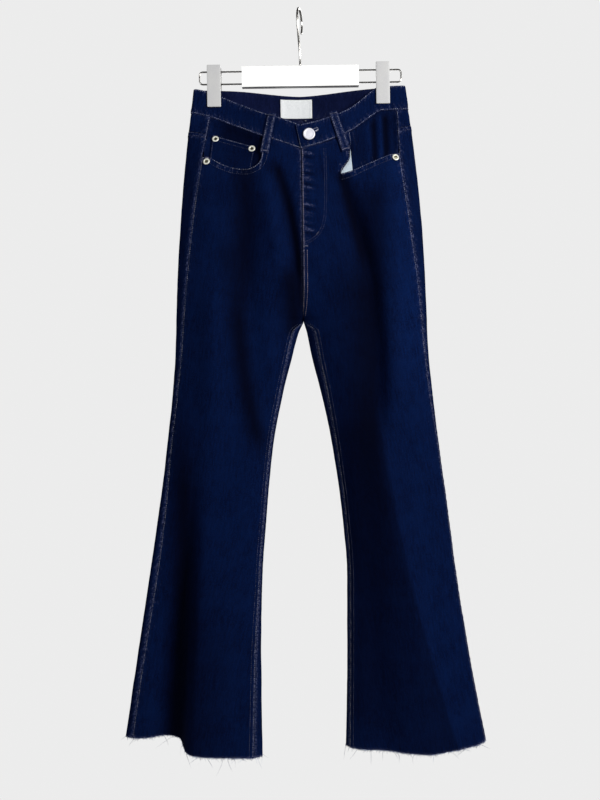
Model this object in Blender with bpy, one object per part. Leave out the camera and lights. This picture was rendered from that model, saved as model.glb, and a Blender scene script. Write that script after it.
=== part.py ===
"""High-waisted flared jeans hanging from a wire clip hanger, at real size.

World frame in metres, +Z up, front of the jeans towards -Y. The origin is where the hook rests on its rail.
Left and right are the wearer's: the left leg is at +X. Sizes below are in millimetres until a mesh is made.

The cloth is one surface for each half of the body. A half is read by two numbers. The lap runs round it: 0 is the
centre front, and below the crotch the inseam, 1 is the outseam and 2 is the centre back or the inseam again.
The height is measured from the hook. Every piece of cloth is a patch of that surface, moved out or in.
"""
import math

import bmesh
import bpy
import numpy as np
from mathutils import Matrix, Vector

MM = 0.001

# Cloth
WALL = 1.5
SEAM = 0.0009
BAND_WALL = 2.0
BAND_PROUD = 0.5
BAND_HEIGHT = 37.5
LAYER_GAP = 0.3
LAYING_GAP = 0.9
COIN_WALL = 1.0
FACING_WALL = 1.2
POCKET_WALL = 1.3
LINING_WALL = 1.0
LINING_BEHIND = 1.3
LOOP_WALL = 1.5
LOOP_WIDTH = 12.5
UNDERLAP_WALL = 1.2
LABEL_WALL = 1.0
OVERLAP_RISE = 1.3
# Length of cloth for each millimetre seen from the front, at the pockets

# Heights below the hook
CROTCH = -479.0
CROTCH_DEPTH = 8.0
HEM = -1137.0
LEVEL_BELOW = -350.0
FOLLOW_HEM = 160.0
LEG_SHAPE_BELOW = -262.0
PINCH_ABOVE = -158.0
PINCH_GONE = -176.0

# Cloth between and beside the clips
ARCH_HALF = 118.0
FLAT_HALF_THICKNESS = 3.0
SPREAD_UNDER_CLIP = 2.4
FOLD_RADIUS = 3.6
FRONT_ARCH = 29.0
BACK_ARCH = 18.0

# Rounding of a leg across its width
INNER_ROUND = 0.40
OUTER_ROUND = 0.42
FRONT_RISE_LENGTH = 150.0
BACK_RISE_LENGTH = 130.0

# Hanger
HOOK_WIRE = 3.4
RAIL_CLEAR_RADIUS = 17.0
HOOK_TWIST = math.radians(11)
LOOP_WIRE = 2.4
LOOP_HALF_WIDTH = 156.0
LOOP_TOP = -93.4
LOOP_BOTTOM = -112.6
LOOP_CORNER = 5.0
SLEEVE_HALF_WIDTH = 90.3
SLEEVE_TOP = -86.2
SLEEVE_BOTTOM = -118.4
SLEEVE_THICKNESS = 9.0
CLIP_X = {-1: -133.7, 1: 127.3}
CLIP_WIDTH = 21.0
CLIP_TOP = {-1: -84.2, 1: -82.6}
CLIP_BOTTOM = {-1: -149.1, 1: -147.5}
JAW_THICKNESS = 2.4

SIDE_NAMES = {-1: "right", 1: "left"}

# One row for each section of a half. edge_in and edge_out are its inner and outer outline, inseam and outseam lie
# that far in from them on the front, depth_in and depth_out set the outline back, front and back are its fullness.
SECTION_COLUMNS = ("height", "edge_in", "edge_out", "inseam", "outseam", "depth_in", "depth_out", "front", "back")
SECTIONS = {
    -1: (
        (-110, 0, 164, 0, 31, 0, 0, 26, 20),
        (-155, 0, 170, 0, 31, 0, 0, 29, 24),
        (-235, 0, 180, 0, 28, 0, 0, 33, 38),
        (-340, 0, 190, 0, 21, 4, 2, 34, 52),
        (-430, 0, 196, 0, 16, 8, 4, 32, 50),
        (-479, 0, 198, 0, 13, 8, 5, 31, 44),
        (-498, 8, 198.5, 8, 12, 7, 5, 31, 42),
        (-541, 20, 201, 7, 11, 5, 5, 30, 38),
        (-588, 32.5, 205, 5, 9, 4, 5, 29, 34),
        (-680, 51, 216, 4, 8, 0, 5, 27, 30),
        (-774, 60.5, 229.5, 4, 11, -4, 6, 26, 28),
        (-866, 68.5, 244.5, 4, 12, -9, 8, 26, 27),
        (-1000, 72, 267.5, 8, 11, -18, 14, 25, 28),
        (-1150, 71.5, 293, 13, 13, -26, 20, 24, 30),
    ),
    1: (
        (-110, 0, 161, 0, 18, 0, 0, 26, 20),
        (-155, 0, 166.5, 0, 19, 0, 0, 29, 24),
        (-235, 0, 176, 0, 26, 0, 0, 33, 38),
        (-340, 0, 185.5, 0, 21, 4, 2, 34, 52),
        (-430, 0, 190, 0, 13, 8, 4, 32, 50),
        (-479, 0, 191.5, 0, 10, 8, 5, 31, 44),
        (-498, 4.5, 192, 12, 9, 7, 5, 31, 42),
        (-541, 13, 194, 11, 7, 5, 5, 30, 38),
        (-588, 24.5, 198, 9, 6, 4, 5, 29, 34),
        (-680, 42.5, 207, 6, 2, 2, 4, 27, 30),
        (-774, 54.5, 218.5, 5, 1.5, 0, 2, 27, 28),
        (-866, 61.5, 229, 4, 1.5, 0, 0, 28, 28),
        (-1000, 60, 248.5, 4, 1.5, 0, 0, 30, 29),
        (-1150, 56, 275.5, 5, 1.5, 0, 0, 32, 30),
    ),
}

# One row for each large fold. A positive rise stands out of the cloth. top_x, mid_x and low_x are its distances from
# the middle of the body, near and far are the half widths of its slopes towards the middle and away from it.
FOLD_COLUMNS = ("side", "face", "top", "low", "top_x", "mid_x", "low_x", "near", "far", "rise", "ease_top", "ease_low")
FOLDS = (
    (-1, "front", -640, -1200, 168, 190, 210, 12, 44, -38, 420, 40),
    (-1, "front", -640, -1200, 140, 160, 178, 40, 14, 7, 250, 40),
    (-1, "front", -370, -760, 136, 139, 148, 22, 22, 8, 120, 160),
    (-1, "front", -270, -700, 88, 80, 56, 20, 22, -8, 110, 150),
    (-1, "front", -240, -440, 58, 46, 30, 13, 15, 6, 70, 80),
    (-1, "front", -240, -470, 38, 18, 4, 9, 10, -6, 80, 80),
    (-1, "back", -640, -1200, 180, 200, 215, 40, 34, 10, 300, 40),
    (-1, "back", -700, -1200, 120, 125, 130, 26, 34, 9, 260, 60),
    (-1, "back", -360, -520, 40, 70, 95, 14, 20, -7, 70, 80),
    (1, "front", -262, -700, 62, 110, 106, 26, 13, -10, 100, 150),
    (1, "front", -380, -680, 112, 126, 128, 14, 26, 6, 130, 110),
    (1, "front", -600, -1200, 112, 152, 188, 46, 26, 11, 160, 40),
    (1, "front", -760, -1200, 84, 100, 118, 22, 24, -6, 200, 60),
    (1, "back", -640, -1200, 120, 148, 170, 34, 30, 10, 240, 40),
    (1, "back", -700, -1200, 90, 98, 105, 20, 26, -8, 240, 60),
    (1, "back", -360, -520, 44, 70, 92, 14, 20, -6, 70, 80),
)

# Height of the waist seam round each half, by lap
WAIST_SEAM = {
    -1: ((0, -224), (0.27, -208.3), (0.41, -200.5), (0.67, -184), (0.875, -171.5), (1, -164.5), (1.15, -158),
         (1.45, -159.7), (2, -164.5)),
    1: ((0, -224), (0.2, -215.5), (0.36, -205.3), (0.452, -198), (0.533, -191), (0.69, -173), (0.767, -164),
        (0.842, -158), (0.9, -157.3), (1.12, -156.8), (1.45, -159.7), (2, -164.5)),
}

# Height of the front pocket's mouth, by lap. Nearer the middle than its first row the panel reaches the waist seam.
# On the left the cloth beside the mouth's steep end hangs outwards over the pocket.
POCKET_MOUTH = {
    -1: ((0.372, -203), (0.392, -222), (0.401, -236.5), (0.42, -243.5), (0.455, -249), (0.54, -253.2), (0.63, -252.4),
         (0.775, -245.4), (0.92, -233.9), (1, -232)),
    1: ((0.345, -196), (0.356, -222), (0.363, -243), (0.369, -255), (0.378, -262.3), (0.44, -260), (0.52, -255.9),
        (0.61, -250.4), (0.76, -240.6), (0.92, -231.5), (1, -229.5)),
}
MOUTH_COLUMNS = 5
FACING_BELOW_MOUTH = 15.0
FACING_START = {-1: 0.36, 1: 0.503}
LINING_LAPS = (0.30, 0.5008)
MOUTH_HANG = 0.13
MOUTH_HANG_TOP = 0.03
LINING_HEIGHTS = (-214.0, -278.0)

# Drop of the hem from its level, by lap
HEM_DROP = {
    -1: ((0, 4), (0.3, 2), (0.6, -3), (0.8, -12), (1, -11), (1.4, -8), (1.8, 2), (2, 4)),
    1: ((0, 0), (0.5, 0), (0.9, -3), (1, -5), (1.5, -2), (2, 0)),
}

# Height of the back yoke's lower seam, by lap
YOKE_SEAM = {
    -1: ((1, -194), (1.06, -189.5), (1.15, -187), (1.5, -207), (2, -232)),
    1: ((1, -187.5), (1.12, -182), (1.22, -184), (1.5, -205), (2, -232)),
}

# Laps at which the waistband and the yokes share their points
BACK_STATIONS = (1 + SEAM, 1.04, 1.08, 1.12, 1.16, 1.2, 1.27, 1.35, 1.44, 1.53, 1.62, 1.71, 1.8, 1.9, 2 - SEAM)


def curve(rows, value):
    """A smooth curve through rows of (place, size), with no overshoot, read at one value or at many."""
    xs = np.array([row[0] for row in rows], float)
    ys = np.array([row[1] for row in rows], float)
    if xs[0] > xs[-1]:
        xs = xs[::-1]
        ys = ys[::-1]
    step = np.diff(xs)
    slope = np.diff(ys) / step
    tangent = np.zeros(len(xs))
    product = slope[:-1] * slope[1:]
    inner = np.where(product > 0, 2 * product / np.where(product > 0, slope[:-1] + slope[1:], 1), 0)
    tangent[1:-1] = inner
    tangent[0] = slope[0]
    tangent[-1] = slope[-1]
    value = np.clip(np.asarray(value, float), xs[0], xs[-1])
    spot = np.clip(np.searchsorted(xs, value, side="right") - 1, 0, len(step) - 1)
    h = step[spot]
    t = (value - xs[spot]) / h
    low = ys[spot] * (1 + 2 * t) * (1 - t) ** 2 + ys[spot + 1] * t * t * (3 - 2 * t)
    return low + h * (tangent[spot] * t * (1 - t) ** 2 - tangent[spot + 1] * t * t * (1 - t))


def ramp(low, high, value):
    """0 below low, 1 above high, smooth between."""
    t = np.clip((np.asarray(value, float) - low) / (high - low), 0, 1)
    return t * t * (3 - 2 * t)


def blend(a, b, share):
    return a + (b - a) * share


class Half:
    """The cloth surface of one half of the body."""

    STEP = 4.0
    SAMPLES = 200

    def __init__(self, side):
        self.side = side
        rows = SECTIONS[side]
        self.columns = {}
        for number, name in enumerate(SECTION_COLUMNS[1:], start=1):
            self.columns[name] = [(row[0], row[number]) for row in rows]
        self.folds = [dict(zip(FOLD_COLUMNS, row)) for row in FOLDS if row[0] == side]
        self.levels = np.arange(HEM - 24, -100, self.STEP)
        self.turns = []
        self.front_lengths = []
        self.back_lengths = []
        for level in self.levels:
            self.measure(level)
        self.turns = np.array(self.turns)

    def size(self, name, height):
        return curve(self.columns[name], height)

    def fold(self, face, across, height):
        """How far the folds of one face stand out at a distance from the middle of the body."""
        total = np.zeros(np.broadcast(across, height).shape)
        for row in self.folds:
            if row["face"] != face:
                continue
            along = (row["top"] - height) / (row["top"] - row["low"])
            bow = row["mid_x"] - (row["top_x"] + row["low_x"]) / 2
            centre = blend(row["top_x"], row["low_x"], along) + 4 * bow * np.clip(along * (1 - along), 0, 1)
            width = np.where(across < centre, row["near"], row["far"])
            strength = ramp(0, row["ease_top"], row["top"] - height) * ramp(0, row["ease_low"], height - row["low"])
            total = total + row["rise"] * strength * np.exp(-((across - centre) / width) ** 2)
        return total

    def centre_line(self, face, height):
        """Depth of the front or back centre seam, which curves under the body to the crotch."""
        if face == "front":
            length, full = FRONT_RISE_LENGTH, -self.size("front", height) + 0.5
        else:
            length, full = BACK_RISE_LENGTH, self.size("back", height) - 6.0
        share = np.clip((height - CROTCH) / length, 0, 1)
        return blend(CROTCH_DEPTH, full, np.sqrt(1 - (1 - share) ** 2))

    def face_depth(self, face, width, height):
        """Y of the front or back face, width being 0 at the inner outline and 1 at the outer."""
        sign = -1.0 if face == "front" else 1.0
        edge_in = self.size("edge_in", height)
        edge_out = self.size("edge_out", height)
        across = edge_in + (edge_out - edge_in) * width
        chord = blend(self.size("depth_in", height), self.size("depth_out", height), width)
        full = self.size(face, height)
        outer = np.clip((width - 1 + OUTER_ROUND) / OUTER_ROUND, 0, 1)
        body = chord + sign * full * np.sqrt(np.clip(1 - outer ** 2.3, 0, 1))
        inner = np.clip(width / INNER_ROUND, 0, 1)
        rounded = np.sqrt(1 - (1 - inner) ** 2)
        length = FRONT_RISE_LENGTH if face == "front" else BACK_RISE_LENGTH
        opened = np.clip((height - CROTCH) / length, 0, 1)
        rise = blend(rounded, inner * inner * (3 - 2 * inner), ramp(0, 1, opened))
        middle = np.where(height > CROTCH, self.centre_line(face, height), self.size("depth_in", height))
        leg = blend(middle, body, rise)
        arch_full = FRONT_ARCH if face == "front" else BACK_ARCH
        flat = FLAT_HALF_THICKNESS + SPREAD_UNDER_CLIP * (1 - ramp(PINCH_GONE, PINCH_ABOVE, height))
        arch = 0.5 + 0.5 * np.cos(np.pi * np.clip(across / ARCH_HALF, 0, 1))
        roll = np.clip((across - edge_out + FOLD_RADIUS) / FOLD_RADIUS, 0, 1)
        waist = sign * (flat + (arch_full - flat) * arch) * np.sqrt(np.clip(1 - roll ** 2, 0, 1))
        depth = blend(leg, waist, ramp(LEG_SHAPE_BELOW, PINCH_ABOVE, height))
        inner_room = ramp(0, 16, (edge_out - edge_in) * width) + (height > CROTCH)
        room = ramp(0, 16, (edge_out - edge_in) * (1 - width)) * np.clip(inner_room, 0, 1)
        return depth + sign * self.fold(face, across, height) * room

    def point(self, turn, height):
        """X and Y at a turn: 0 to 1 crosses the front outwards, 1 to 2 the back inwards, 2 to 3 the front again."""
        turn = np.asarray(turn, float)
        height = np.asarray(height, float)
        wrapped = np.where(turn > 2, turn - 2, turn)
        width = 0.5 - 0.5 * np.cos(np.pi * wrapped)
        edge_in = np.maximum(self.size("edge_in", height), LAYER_GAP / 2)
        edge_out = self.size("edge_out", height)
        across = edge_in + (edge_out - edge_in) * width
        front = self.face_depth("front", width, height)
        back = self.face_depth("back", width, height)
        return self.side * across, np.where(wrapped <= 1, front, back)

    def measure(self, height):
        """Keep, for one height, the turns that lie at even steps of the cloth's length between the seams."""
        grid = np.linspace(0, 1, 601)
        edge_in = max(float(self.size("edge_in", height)), LAYER_GAP / 2)
        edge_out = float(self.size("edge_out", height))
        width_in = float(self.size("inseam", height)) / (edge_out - edge_in)
        width_out = 1 - float(self.size("outseam", height)) / (edge_out - edge_in)
        turn_in = math.acos(1 - 2 * width_in) / math.pi
        turn_out = math.acos(1 - 2 * width_out) / math.pi
        kept = []
        for start, end, lengths in ((turn_in, turn_out, self.front_lengths), (turn_out, 2 + turn_in, self.back_lengths)):
            turns = start + (end - start) * grid
            x, y = self.point(turns, np.full(turns.shape, height))
            run = np.concatenate(([0], np.cumsum(np.hypot(np.diff(x), np.diff(y)))))
            lengths.append(run[-1])
            kept.append(np.interp(np.linspace(0, run[-1], self.SAMPLES + 1), run, turns))
        self.turns.append(np.concatenate((kept[0], kept[1][1:])))

    def turn(self, lap, height):
        row = np.clip((height - self.levels[0]) / self.STEP, 0, len(self.levels) - 1.001)
        column = np.clip(lap * self.SAMPLES, 0, 2 * self.SAMPLES - 0.001)
        r = row.astype(int)
        c = column.astype(int)
        fr = row - r
        fc = column - c
        low = blend(self.turns[r, c], self.turns[r, c + 1], fc)
        high = blend(self.turns[r + 1, c], self.turns[r + 1, c + 1], fc)
        return blend(low, high, fr)

    def spot(self, lap, height):
        height = np.asarray(height, float) + np.zeros(np.shape(lap))
        lap = np.asarray(lap, float) + np.zeros(np.shape(height))
        x, y = self.point(self.turn(lap, height), height)
        return np.stack([x, y, height], axis=-1)

    def frame(self, lap, height):
        """Points and outward normals at laps and heights."""
        lap = np.asarray(lap, float)
        height = np.asarray(height, float)
        lap_step = 0.006
        height_step = 2.0
        across = self.spot(np.minimum(lap + lap_step, 2), height) - self.spot(np.maximum(lap - lap_step, 0), height)
        upward = self.spot(lap, height + height_step) - self.spot(lap, height - height_step)
        normal = np.cross(across, upward) * self.side
        normal = normal / np.linalg.norm(normal, axis=-1, keepdims=True)
        return self.spot(lap, height), normal

    def lap_of(self, millimetres, height, face="front"):
        """The lap at a distance along the cloth from the centre front or the centre back."""
        if face == "front":
            return millimetres / np.interp(height, self.levels, self.front_lengths)
        return 2 - millimetres / np.interp(height, self.levels, self.back_lengths)


HALVES = {}


def surface(side, lap, height, lift):
    """Points moved out by lift. A lap under 0 or over 2 crosses the centre line on to the other half."""
    lap, height, lift = np.broadcast_arrays(np.asarray(lap, float), np.asarray(height, float), lift)
    own, own_normal = HALVES[side].frame(np.clip(lap, 0, 2), height)
    crossed = np.where(lap < 0, -lap, np.where(lap > 2, 4 - lap, lap))
    other, other_normal = HALVES[-side].frame(np.clip(crossed, 0, 2), height)
    outside = ((lap < 0) | (lap > 2))[..., None]
    return np.where(outside, other, own) + np.where(outside, other_normal, own_normal) * lift[..., None]


def clear_scene():
    for item in list(bpy.data.objects):
        bpy.data.objects.remove(item, do_unlink=True)


def material(name, colour, roughness, metallic=0.0):
    made = bpy.data.materials.new(name)
    made.use_nodes = True
    shader = made.node_tree.nodes["Principled BSDF"]
    shader.inputs["Base Color"].default_value = (*colour, 1.0)
    shader.inputs["Roughness"].default_value = roughness
    shader.inputs["Metallic"].default_value = metallic
    return made


def place(name, mesh, finish, smooth=True):
    mesh.materials.append(finish)
    if smooth:
        mesh.shade_smooth()
        mesh.set_sharp_from_angle(angle=math.radians(50))
    item = bpy.data.objects.new(name, mesh)
    bpy.context.scene.collection.objects.link(item)
    return item


def wall_mesh(name, outer, inner):
    """A closed wall between two grids of points, both in millimetres."""
    rows, columns = outer.shape[:2]
    made = bmesh.new()
    grids = []
    for grid in (outer, inner):
        grids.append([[made.verts.new(grid[r, c] * MM) for c in range(columns)] for r in range(rows)])
    for grid in grids:
        for r in range(rows - 1):
            for c in range(columns - 1):
                made.faces.new((grid[r][c], grid[r][c + 1], grid[r + 1][c + 1], grid[r + 1][c]))
    rim = [(0, c) for c in range(columns)] + [(r, columns - 1) for r in range(1, rows)]
    rim += [(rows - 1, c) for c in range(columns - 2, -1, -1)] + [(r, 0) for r in range(rows - 2, 0, -1)]
    for (r1, c1), (r2, c2) in zip(rim, rim[1:] + rim[:1]):
        made.faces.new((grids[0][r1][c1], grids[0][r2][c2], grids[1][r2][c2], grids[1][r1][c1]))
    bmesh.ops.recalc_face_normals(made, faces=made.faces)
    mesh = bpy.data.meshes.new(name)
    made.to_mesh(mesh)
    made.free()
    return mesh


def patch(name, side, lap, height, lift, wall, finish):
    """A piece of cloth whose outer side lies at lift over the surface, and whose wall goes inwards."""
    lift = np.asarray(lift, float) + np.zeros(np.shape(lap))
    outer = surface(side, lap, height, lift)
    inner = surface(side, lap, height, lift - wall)
    return place(name, wall_mesh(name, outer, inner), finish)


def grid(laps, tops, lows, shares):
    """Laps and heights of a patch, with rows at given shares between its upper and lower edge."""
    laps = np.asarray(laps, float)
    share = np.asarray(shares, float)[:, None]
    height = blend(np.asarray(tops, float)[None, :], np.asarray(lows, float)[None, :], share)
    return np.broadcast_to(laps[None, :], height.shape), height


def levels_between(top, low, count, crowd=0.0):
    """Even heights from top to low, crowded towards low by a share."""
    t = np.linspace(0, 1, count + 1)
    t = t + crowd * t * (1 - t)
    return blend(top, low, t)


def panel_rows(laps, tops, lows, top_level):
    """Rows that follow the upper edge near it, run level through the crotch and follow the hem near it."""
    upper = levels_between(top_level, CROTCH, 14, 0.1)
    lower = levels_between(CROTCH, HEM, 17, -0.25)
    nominal = np.concatenate((upper, lower[1:]))[:, None]
    follow_top = np.clip((nominal - LEVEL_BELOW) / (top_level - LEVEL_BELOW), 0, 1)
    follow_hem = np.clip((HEM + FOLLOW_HEM - nominal) / FOLLOW_HEM, 0, 1)
    height = nominal + (np.asarray(tops) - top_level) * follow_top + (np.asarray(lows) - HEM) * follow_hem
    lap = np.repeat(np.asarray(laps, float)[None, :], len(height), axis=0)
    centre = np.abs(lap - np.round(lap)) < 2 * SEAM
    lap = np.where(centre & (np.round(lap) != 1) & (height > CROTCH), np.round(lap), lap)
    return lap, height


def seam_height(side, lap):
    return curve(WAIST_SEAM[side], lap)


def mouth_hang(side, lap, height):
    """The lap at which cloth lies: beside the steep end of the left mouth it hangs outwards."""
    if side < 0:
        return lap
    near_mouth = ramp(0.08, 0.33, lap) * (1 - ramp(0.42, 0.56, lap))
    return lap + near_mouth * (MOUTH_HANG * ramp(-267, -234, height) + MOUTH_HANG_TOP * ramp(-226, -212, height))


def front_panel(side, finish):
    """From the waist seam and the pocket's mouth to the hem, between the centre front or inseam and the outseam."""
    turn = [row[0] for row in POCKET_MOUTH[side][:MOUTH_COLUMNS]]
    inner = np.linspace(SEAM, turn[0], 7)
    outer = np.concatenate((turn[1:], np.linspace(turn[-1], 1 - SEAM, 9)[1:]))
    laps = np.concatenate((inner, outer))
    seam_tops = seam_height(side, mouth_hang(side, inner, -200.0)) - LAYER_GAP
    tops = np.concatenate((seam_tops, curve(POCKET_MOUTH[side], outer)))
    lows = HEM - curve(HEM_DROP[side], laps)
    lap, height = panel_rows(laps, tops, lows, -215.0)
    lap = mouth_hang(side, lap, height)
    lift = np.zeros(lap.shape)
    if side > 0:
        lift = OVERLAP_RISE * (1 - ramp(0, 0.2, lap)) * ramp(CROTCH + 60, CROTCH + 130, height)
    return patch("front_panel_" + SIDE_NAMES[side], side, lap, height, lift, WALL, finish)


def yoke_height(side, lap):
    return curve(YOKE_SEAM[side], lap)


def back_panel(side, finish):
    """From the yoke to the hem."""
    laps = np.linspace(1 + SEAM, 2 - SEAM, 18)
    tops = yoke_height(side, laps) - LAYER_GAP
    lows = HEM - curve(HEM_DROP[side], laps)
    lap, height = panel_rows(laps, tops, lows, -210.0)
    return patch("back_panel_" + SIDE_NAMES[side], side, lap, height, 0.0, WALL, finish)


def yoke(side, finish):
    laps = np.array(BACK_STATIONS)
    lap, height = grid(laps, seam_height(side, laps) - LAYER_GAP, yoke_height(side, laps), np.linspace(0, 1, 4))
    return patch("yoke_" + SIDE_NAMES[side], side, lap, height, 0.0, WALL, finish)


def waistband(finish):
    """One strip from the end that laps over at the centre front, round the back, to the end beneath."""
    over = [(-1, 0.060), (-1, 0.030)]
    left = [(1, lap) for lap in np.concatenate((np.linspace(0.002, 0.24, 5), np.linspace(0.31, 1.0, 10)))]
    left += [(1, lap) for lap in BACK_STATIONS[1:]]
    right = [(-1, lap) for lap in reversed(BACK_STATIONS[1:])]
    right += [(-1, lap) for lap in np.linspace(1.0, 0.002, 15)]
    under = [(1, 0.03), (1, 0.08), (1, 0.14), (1, 0.2)]
    stations = [(s, lap, "over") for s, lap in over] + [(s, lap, "round") for s, lap in left + right]
    stations += [(s, lap, "under") for s, lap in under]
    shares = np.linspace(0, 1, 4)
    outer = np.zeros((len(shares), len(stations), 3))
    inner = np.zeros(outer.shape)
    half_step = (BAND_WALL + LAYER_GAP) / 2
    for number, (side, lap, part) in enumerate(stations):
        top = seam_height(side, lap) + BAND_HEIGHT
        heights = blend(seam_height(side, lap), top, shares)
        laps = np.full(len(shares), lap)
        if number == 0:
            laps = blend(0.003, lap, shares)
        lift = BAND_PROUD
        if part == "over" or (side > 0 and part == "round"):
            lift = BAND_PROUD + half_step * (1 - ramp(0.2, 0.5, lap if part == "round" else 0.0))
        if part == "under" or (side < 0 and part == "round"):
            lift = BAND_PROUD - half_step * (1 - ramp(0.12, 0.5, lap if part == "round" else 0.0))
        lift = np.full(len(shares), float(lift))
        outer[:, number] = surface(side, laps, heights, lift)
        inner[:, number] = surface(side, laps, heights, lift - BAND_WALL)
    return place("waistband", wall_mesh("waistband", outer, inner), finish)


def mouth_height(side, lap):
    start = POCKET_MOUTH[side][0][0]
    return curve(POCKET_MOUTH[side], np.maximum(lap, start))


def facing_lift(side, height):
    """The facing lies close behind the panel, and deeper on the right where the coin pocket comes between."""
    close = -(WALL + LAYING_GAP)
    deep = close - COIN_WALL - LAYING_GAP
    return blend(deep, close, ramp(-196, -172, height)) if side < 0 else close + 0 * height


def pocket_facing(side, finish):
    """The denim behind the pocket's mouth, from the waist seam to below the mouth."""
    laps = np.linspace(FACING_START[side], 1 - SEAM, 12)
    tops = seam_height(side, laps) - LAYER_GAP
    lows = mouth_height(side, laps) - FACING_BELOW_MOUTH
    lap, height = grid(laps, tops, lows, np.linspace(0, 1, 7))
    lift = facing_lift(side, height)
    return patch("pocket_facing_" + SIDE_NAMES[side], side, lap, height, lift, FACING_WALL, finish)


def pocket_lining(finish):
    """The pale pocket cloth that shows where the left pocket gapes."""
    laps = np.linspace(*LINING_LAPS, 8)
    tops = np.minimum(LINING_HEIGHTS[0], seam_height(1, laps) - LAYER_GAP)
    lows = np.full(laps.shape, LINING_HEIGHTS[1])
    lap, height = grid(laps, tops, lows, np.linspace(0, 1, 7))
    return patch("pocket_lining_left", 1, lap, height, -(WALL + LINING_BEHIND), LINING_WALL, finish)


def coin_pocket(finish):
    """The small pocket on the right facing."""
    half = HALVES[-1]
    shares = np.linspace(0, 1, 5)
    top_left, top_right = (137.5, -193.0), (70.0, -216.5)
    low_left, low_right = (140.5, -244.0), (78.5, -262.0)
    columns = np.linspace(0, 1, 6)
    lap = np.zeros((5, 6))
    height = np.zeros((5, 6))
    for r, share in enumerate(shares):
        for c, column in enumerate(columns):
            near = (blend(top_right[0], low_right[0], share), blend(top_right[1], low_right[1], share))
            far = (blend(top_left[0], low_left[0], share), blend(top_left[1], low_left[1], share))
            height[r, c] = blend(near[1], far[1], column)
            lap[r, c] = half.lap_of(blend(near[0], far[0], column), height[r, c])
    return patch("coin_pocket", -1, lap, height, -(WALL + LAYING_GAP), COIN_WALL, finish)


def back_pocket(side, finish):
    """A patch pocket with a point at its foot."""
    half = HALVES[side]
    top, shoulder, tip = -252.0, -372.0, -394.0
    rows = 7
    columns = 8
    lap = np.zeros((rows, columns + 1))
    height = np.zeros((rows, columns + 1))
    for c in range(columns + 1):
        t = c / columns
        foot = blend(shoulder, tip, 1 - abs(2 * t - 1))
        for r in range(rows):
            share = r / (rows - 1)
            z = blend(top - 6 * (1 - t), foot, share)
            near = blend(30.0, 42.0, share)
            far = blend(160.0, 146.0, share)
            height[r, c] = z
            lap[r, c] = half.lap_of(blend(near, far, t), z, "back")
    return patch("back_pocket_" + SIDE_NAMES[side], side, lap, height, LAYING_GAP + POCKET_WALL, POCKET_WALL, finish)


def fly_underlap(finish):
    """The strip behind the fly that the other front buttons over."""
    laps = np.linspace(-0.07, 0.27, 7)
    shares = np.linspace(0, 1, 8)
    tops = np.full(laps.shape, -224.5)
    lows = -384.0 + 14 * np.clip(laps / 0.27, 0, 1) ** 2
    lap, height = grid(laps, tops, lows, shares)
    return patch("fly_underlap", 1, lap, height, -(WALL + LAYING_GAP), UNDERLAP_WALL, finish)


def strip_on(name, side, start, end, width, lifts, wall, finish, face="front"):
    """A narrow strip down the cloth. start and end are (distance from the centre, height)."""
    half = HALVES[side]
    shares = np.linspace(0, 1, len(lifts))
    columns = np.linspace(-0.5, 0.5, 3)
    lap = np.zeros((len(shares), 3))
    height = np.zeros(lap.shape)
    for r, share in enumerate(shares):
        z = blend(start[1], end[1], share)
        lean = (end[0] - start[0]) / (end[1] - start[1])
        for c, column in enumerate(columns):
            height[r, c] = z - column * width * lean
            lap[r, c] = half.lap_of(blend(start[0], end[0], share) + column * width, height[r, c], face)
    lift = np.asarray(lifts, float)[:, None] + np.zeros(lap.shape)
    return patch(name, side, lap, height, lift, wall, finish)


def belt_loops(finish):
    """Two at the front, one at the centre back and one each side of it."""
    foot = LAYING_GAP + LOOP_WALL
    head = BAND_PROUD + LAYER_GAP + LOOP_WALL
    bulge = 1.1
    over_seam = foot + 1.2
    raised = (BAND_WALL + LAYER_GAP) / 2
    plain = (head, head + bulge, head + bulge, over_seam, foot)
    on_overlap = (head + raised, head + bulge + raised, head + bulge + raised, over_seam + 0.2, foot + 0.8)
    rows = (
        ("belt_loop_1", -1, "front", (44.2, -167.0), (56.3, -229.3), plain),
        ("belt_loop_2", 1, "front", (48.4, -165.3), (67.6, -228.3), on_overlap),
        ("belt_loop_3", -1, "back", (84.0, -123.0), (84.0, -183.0), plain),
        ("belt_loop_4", 1, "back", (84.0, -123.0), (84.0, -183.0), plain),
        ("belt_loop_5", 1, "back", (0.0, -126.0), (0.0, -186.0), plain),
    )
    for name, side, face, start, end, lifts in rows:
        strip_on(name, side, start, end, LOOP_WIDTH, lifts, LOOP_WALL, finish, face)


def turned(name, profile, side, lap, height, lift, finish, sides=16):
    """A round piece of metal standing on the cloth. profile is (radius, height) from its foot to its top."""
    point = surface(side, np.array([lap]), np.array([height]), np.array([lift]))[0]
    normal = HALVES[side].frame(np.array([lap]), np.array([height]))[1][0]
    made = bmesh.new()
    rings = []
    for radius, rise in profile:
        ring = []
        for number in range(sides):
            angle = 2 * math.pi * number / sides
            ring.append(made.verts.new((radius * math.cos(angle) * MM, radius * math.sin(angle) * MM, rise * MM)))
        rings.append(ring)
    for low, high in zip(rings, rings[1:]):
        for number in range(sides):
            after = (number + 1) % sides
            made.faces.new((low[number], low[after], high[after], high[number]))
    made.faces.new(list(reversed(rings[0])))
    made.faces.new(rings[-1])
    bmesh.ops.recalc_face_normals(made, faces=made.faces)
    turn = Vector((0, 0, 1)).rotation_difference(Vector(normal)).to_matrix().to_4x4()
    bmesh.ops.transform(made, matrix=Matrix.Translation(Vector(point) * MM) @ turn, verts=made.verts)
    mesh = bpy.data.meshes.new(name)
    made.to_mesh(mesh)
    made.free()
    return place(name, mesh, finish)


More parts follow.
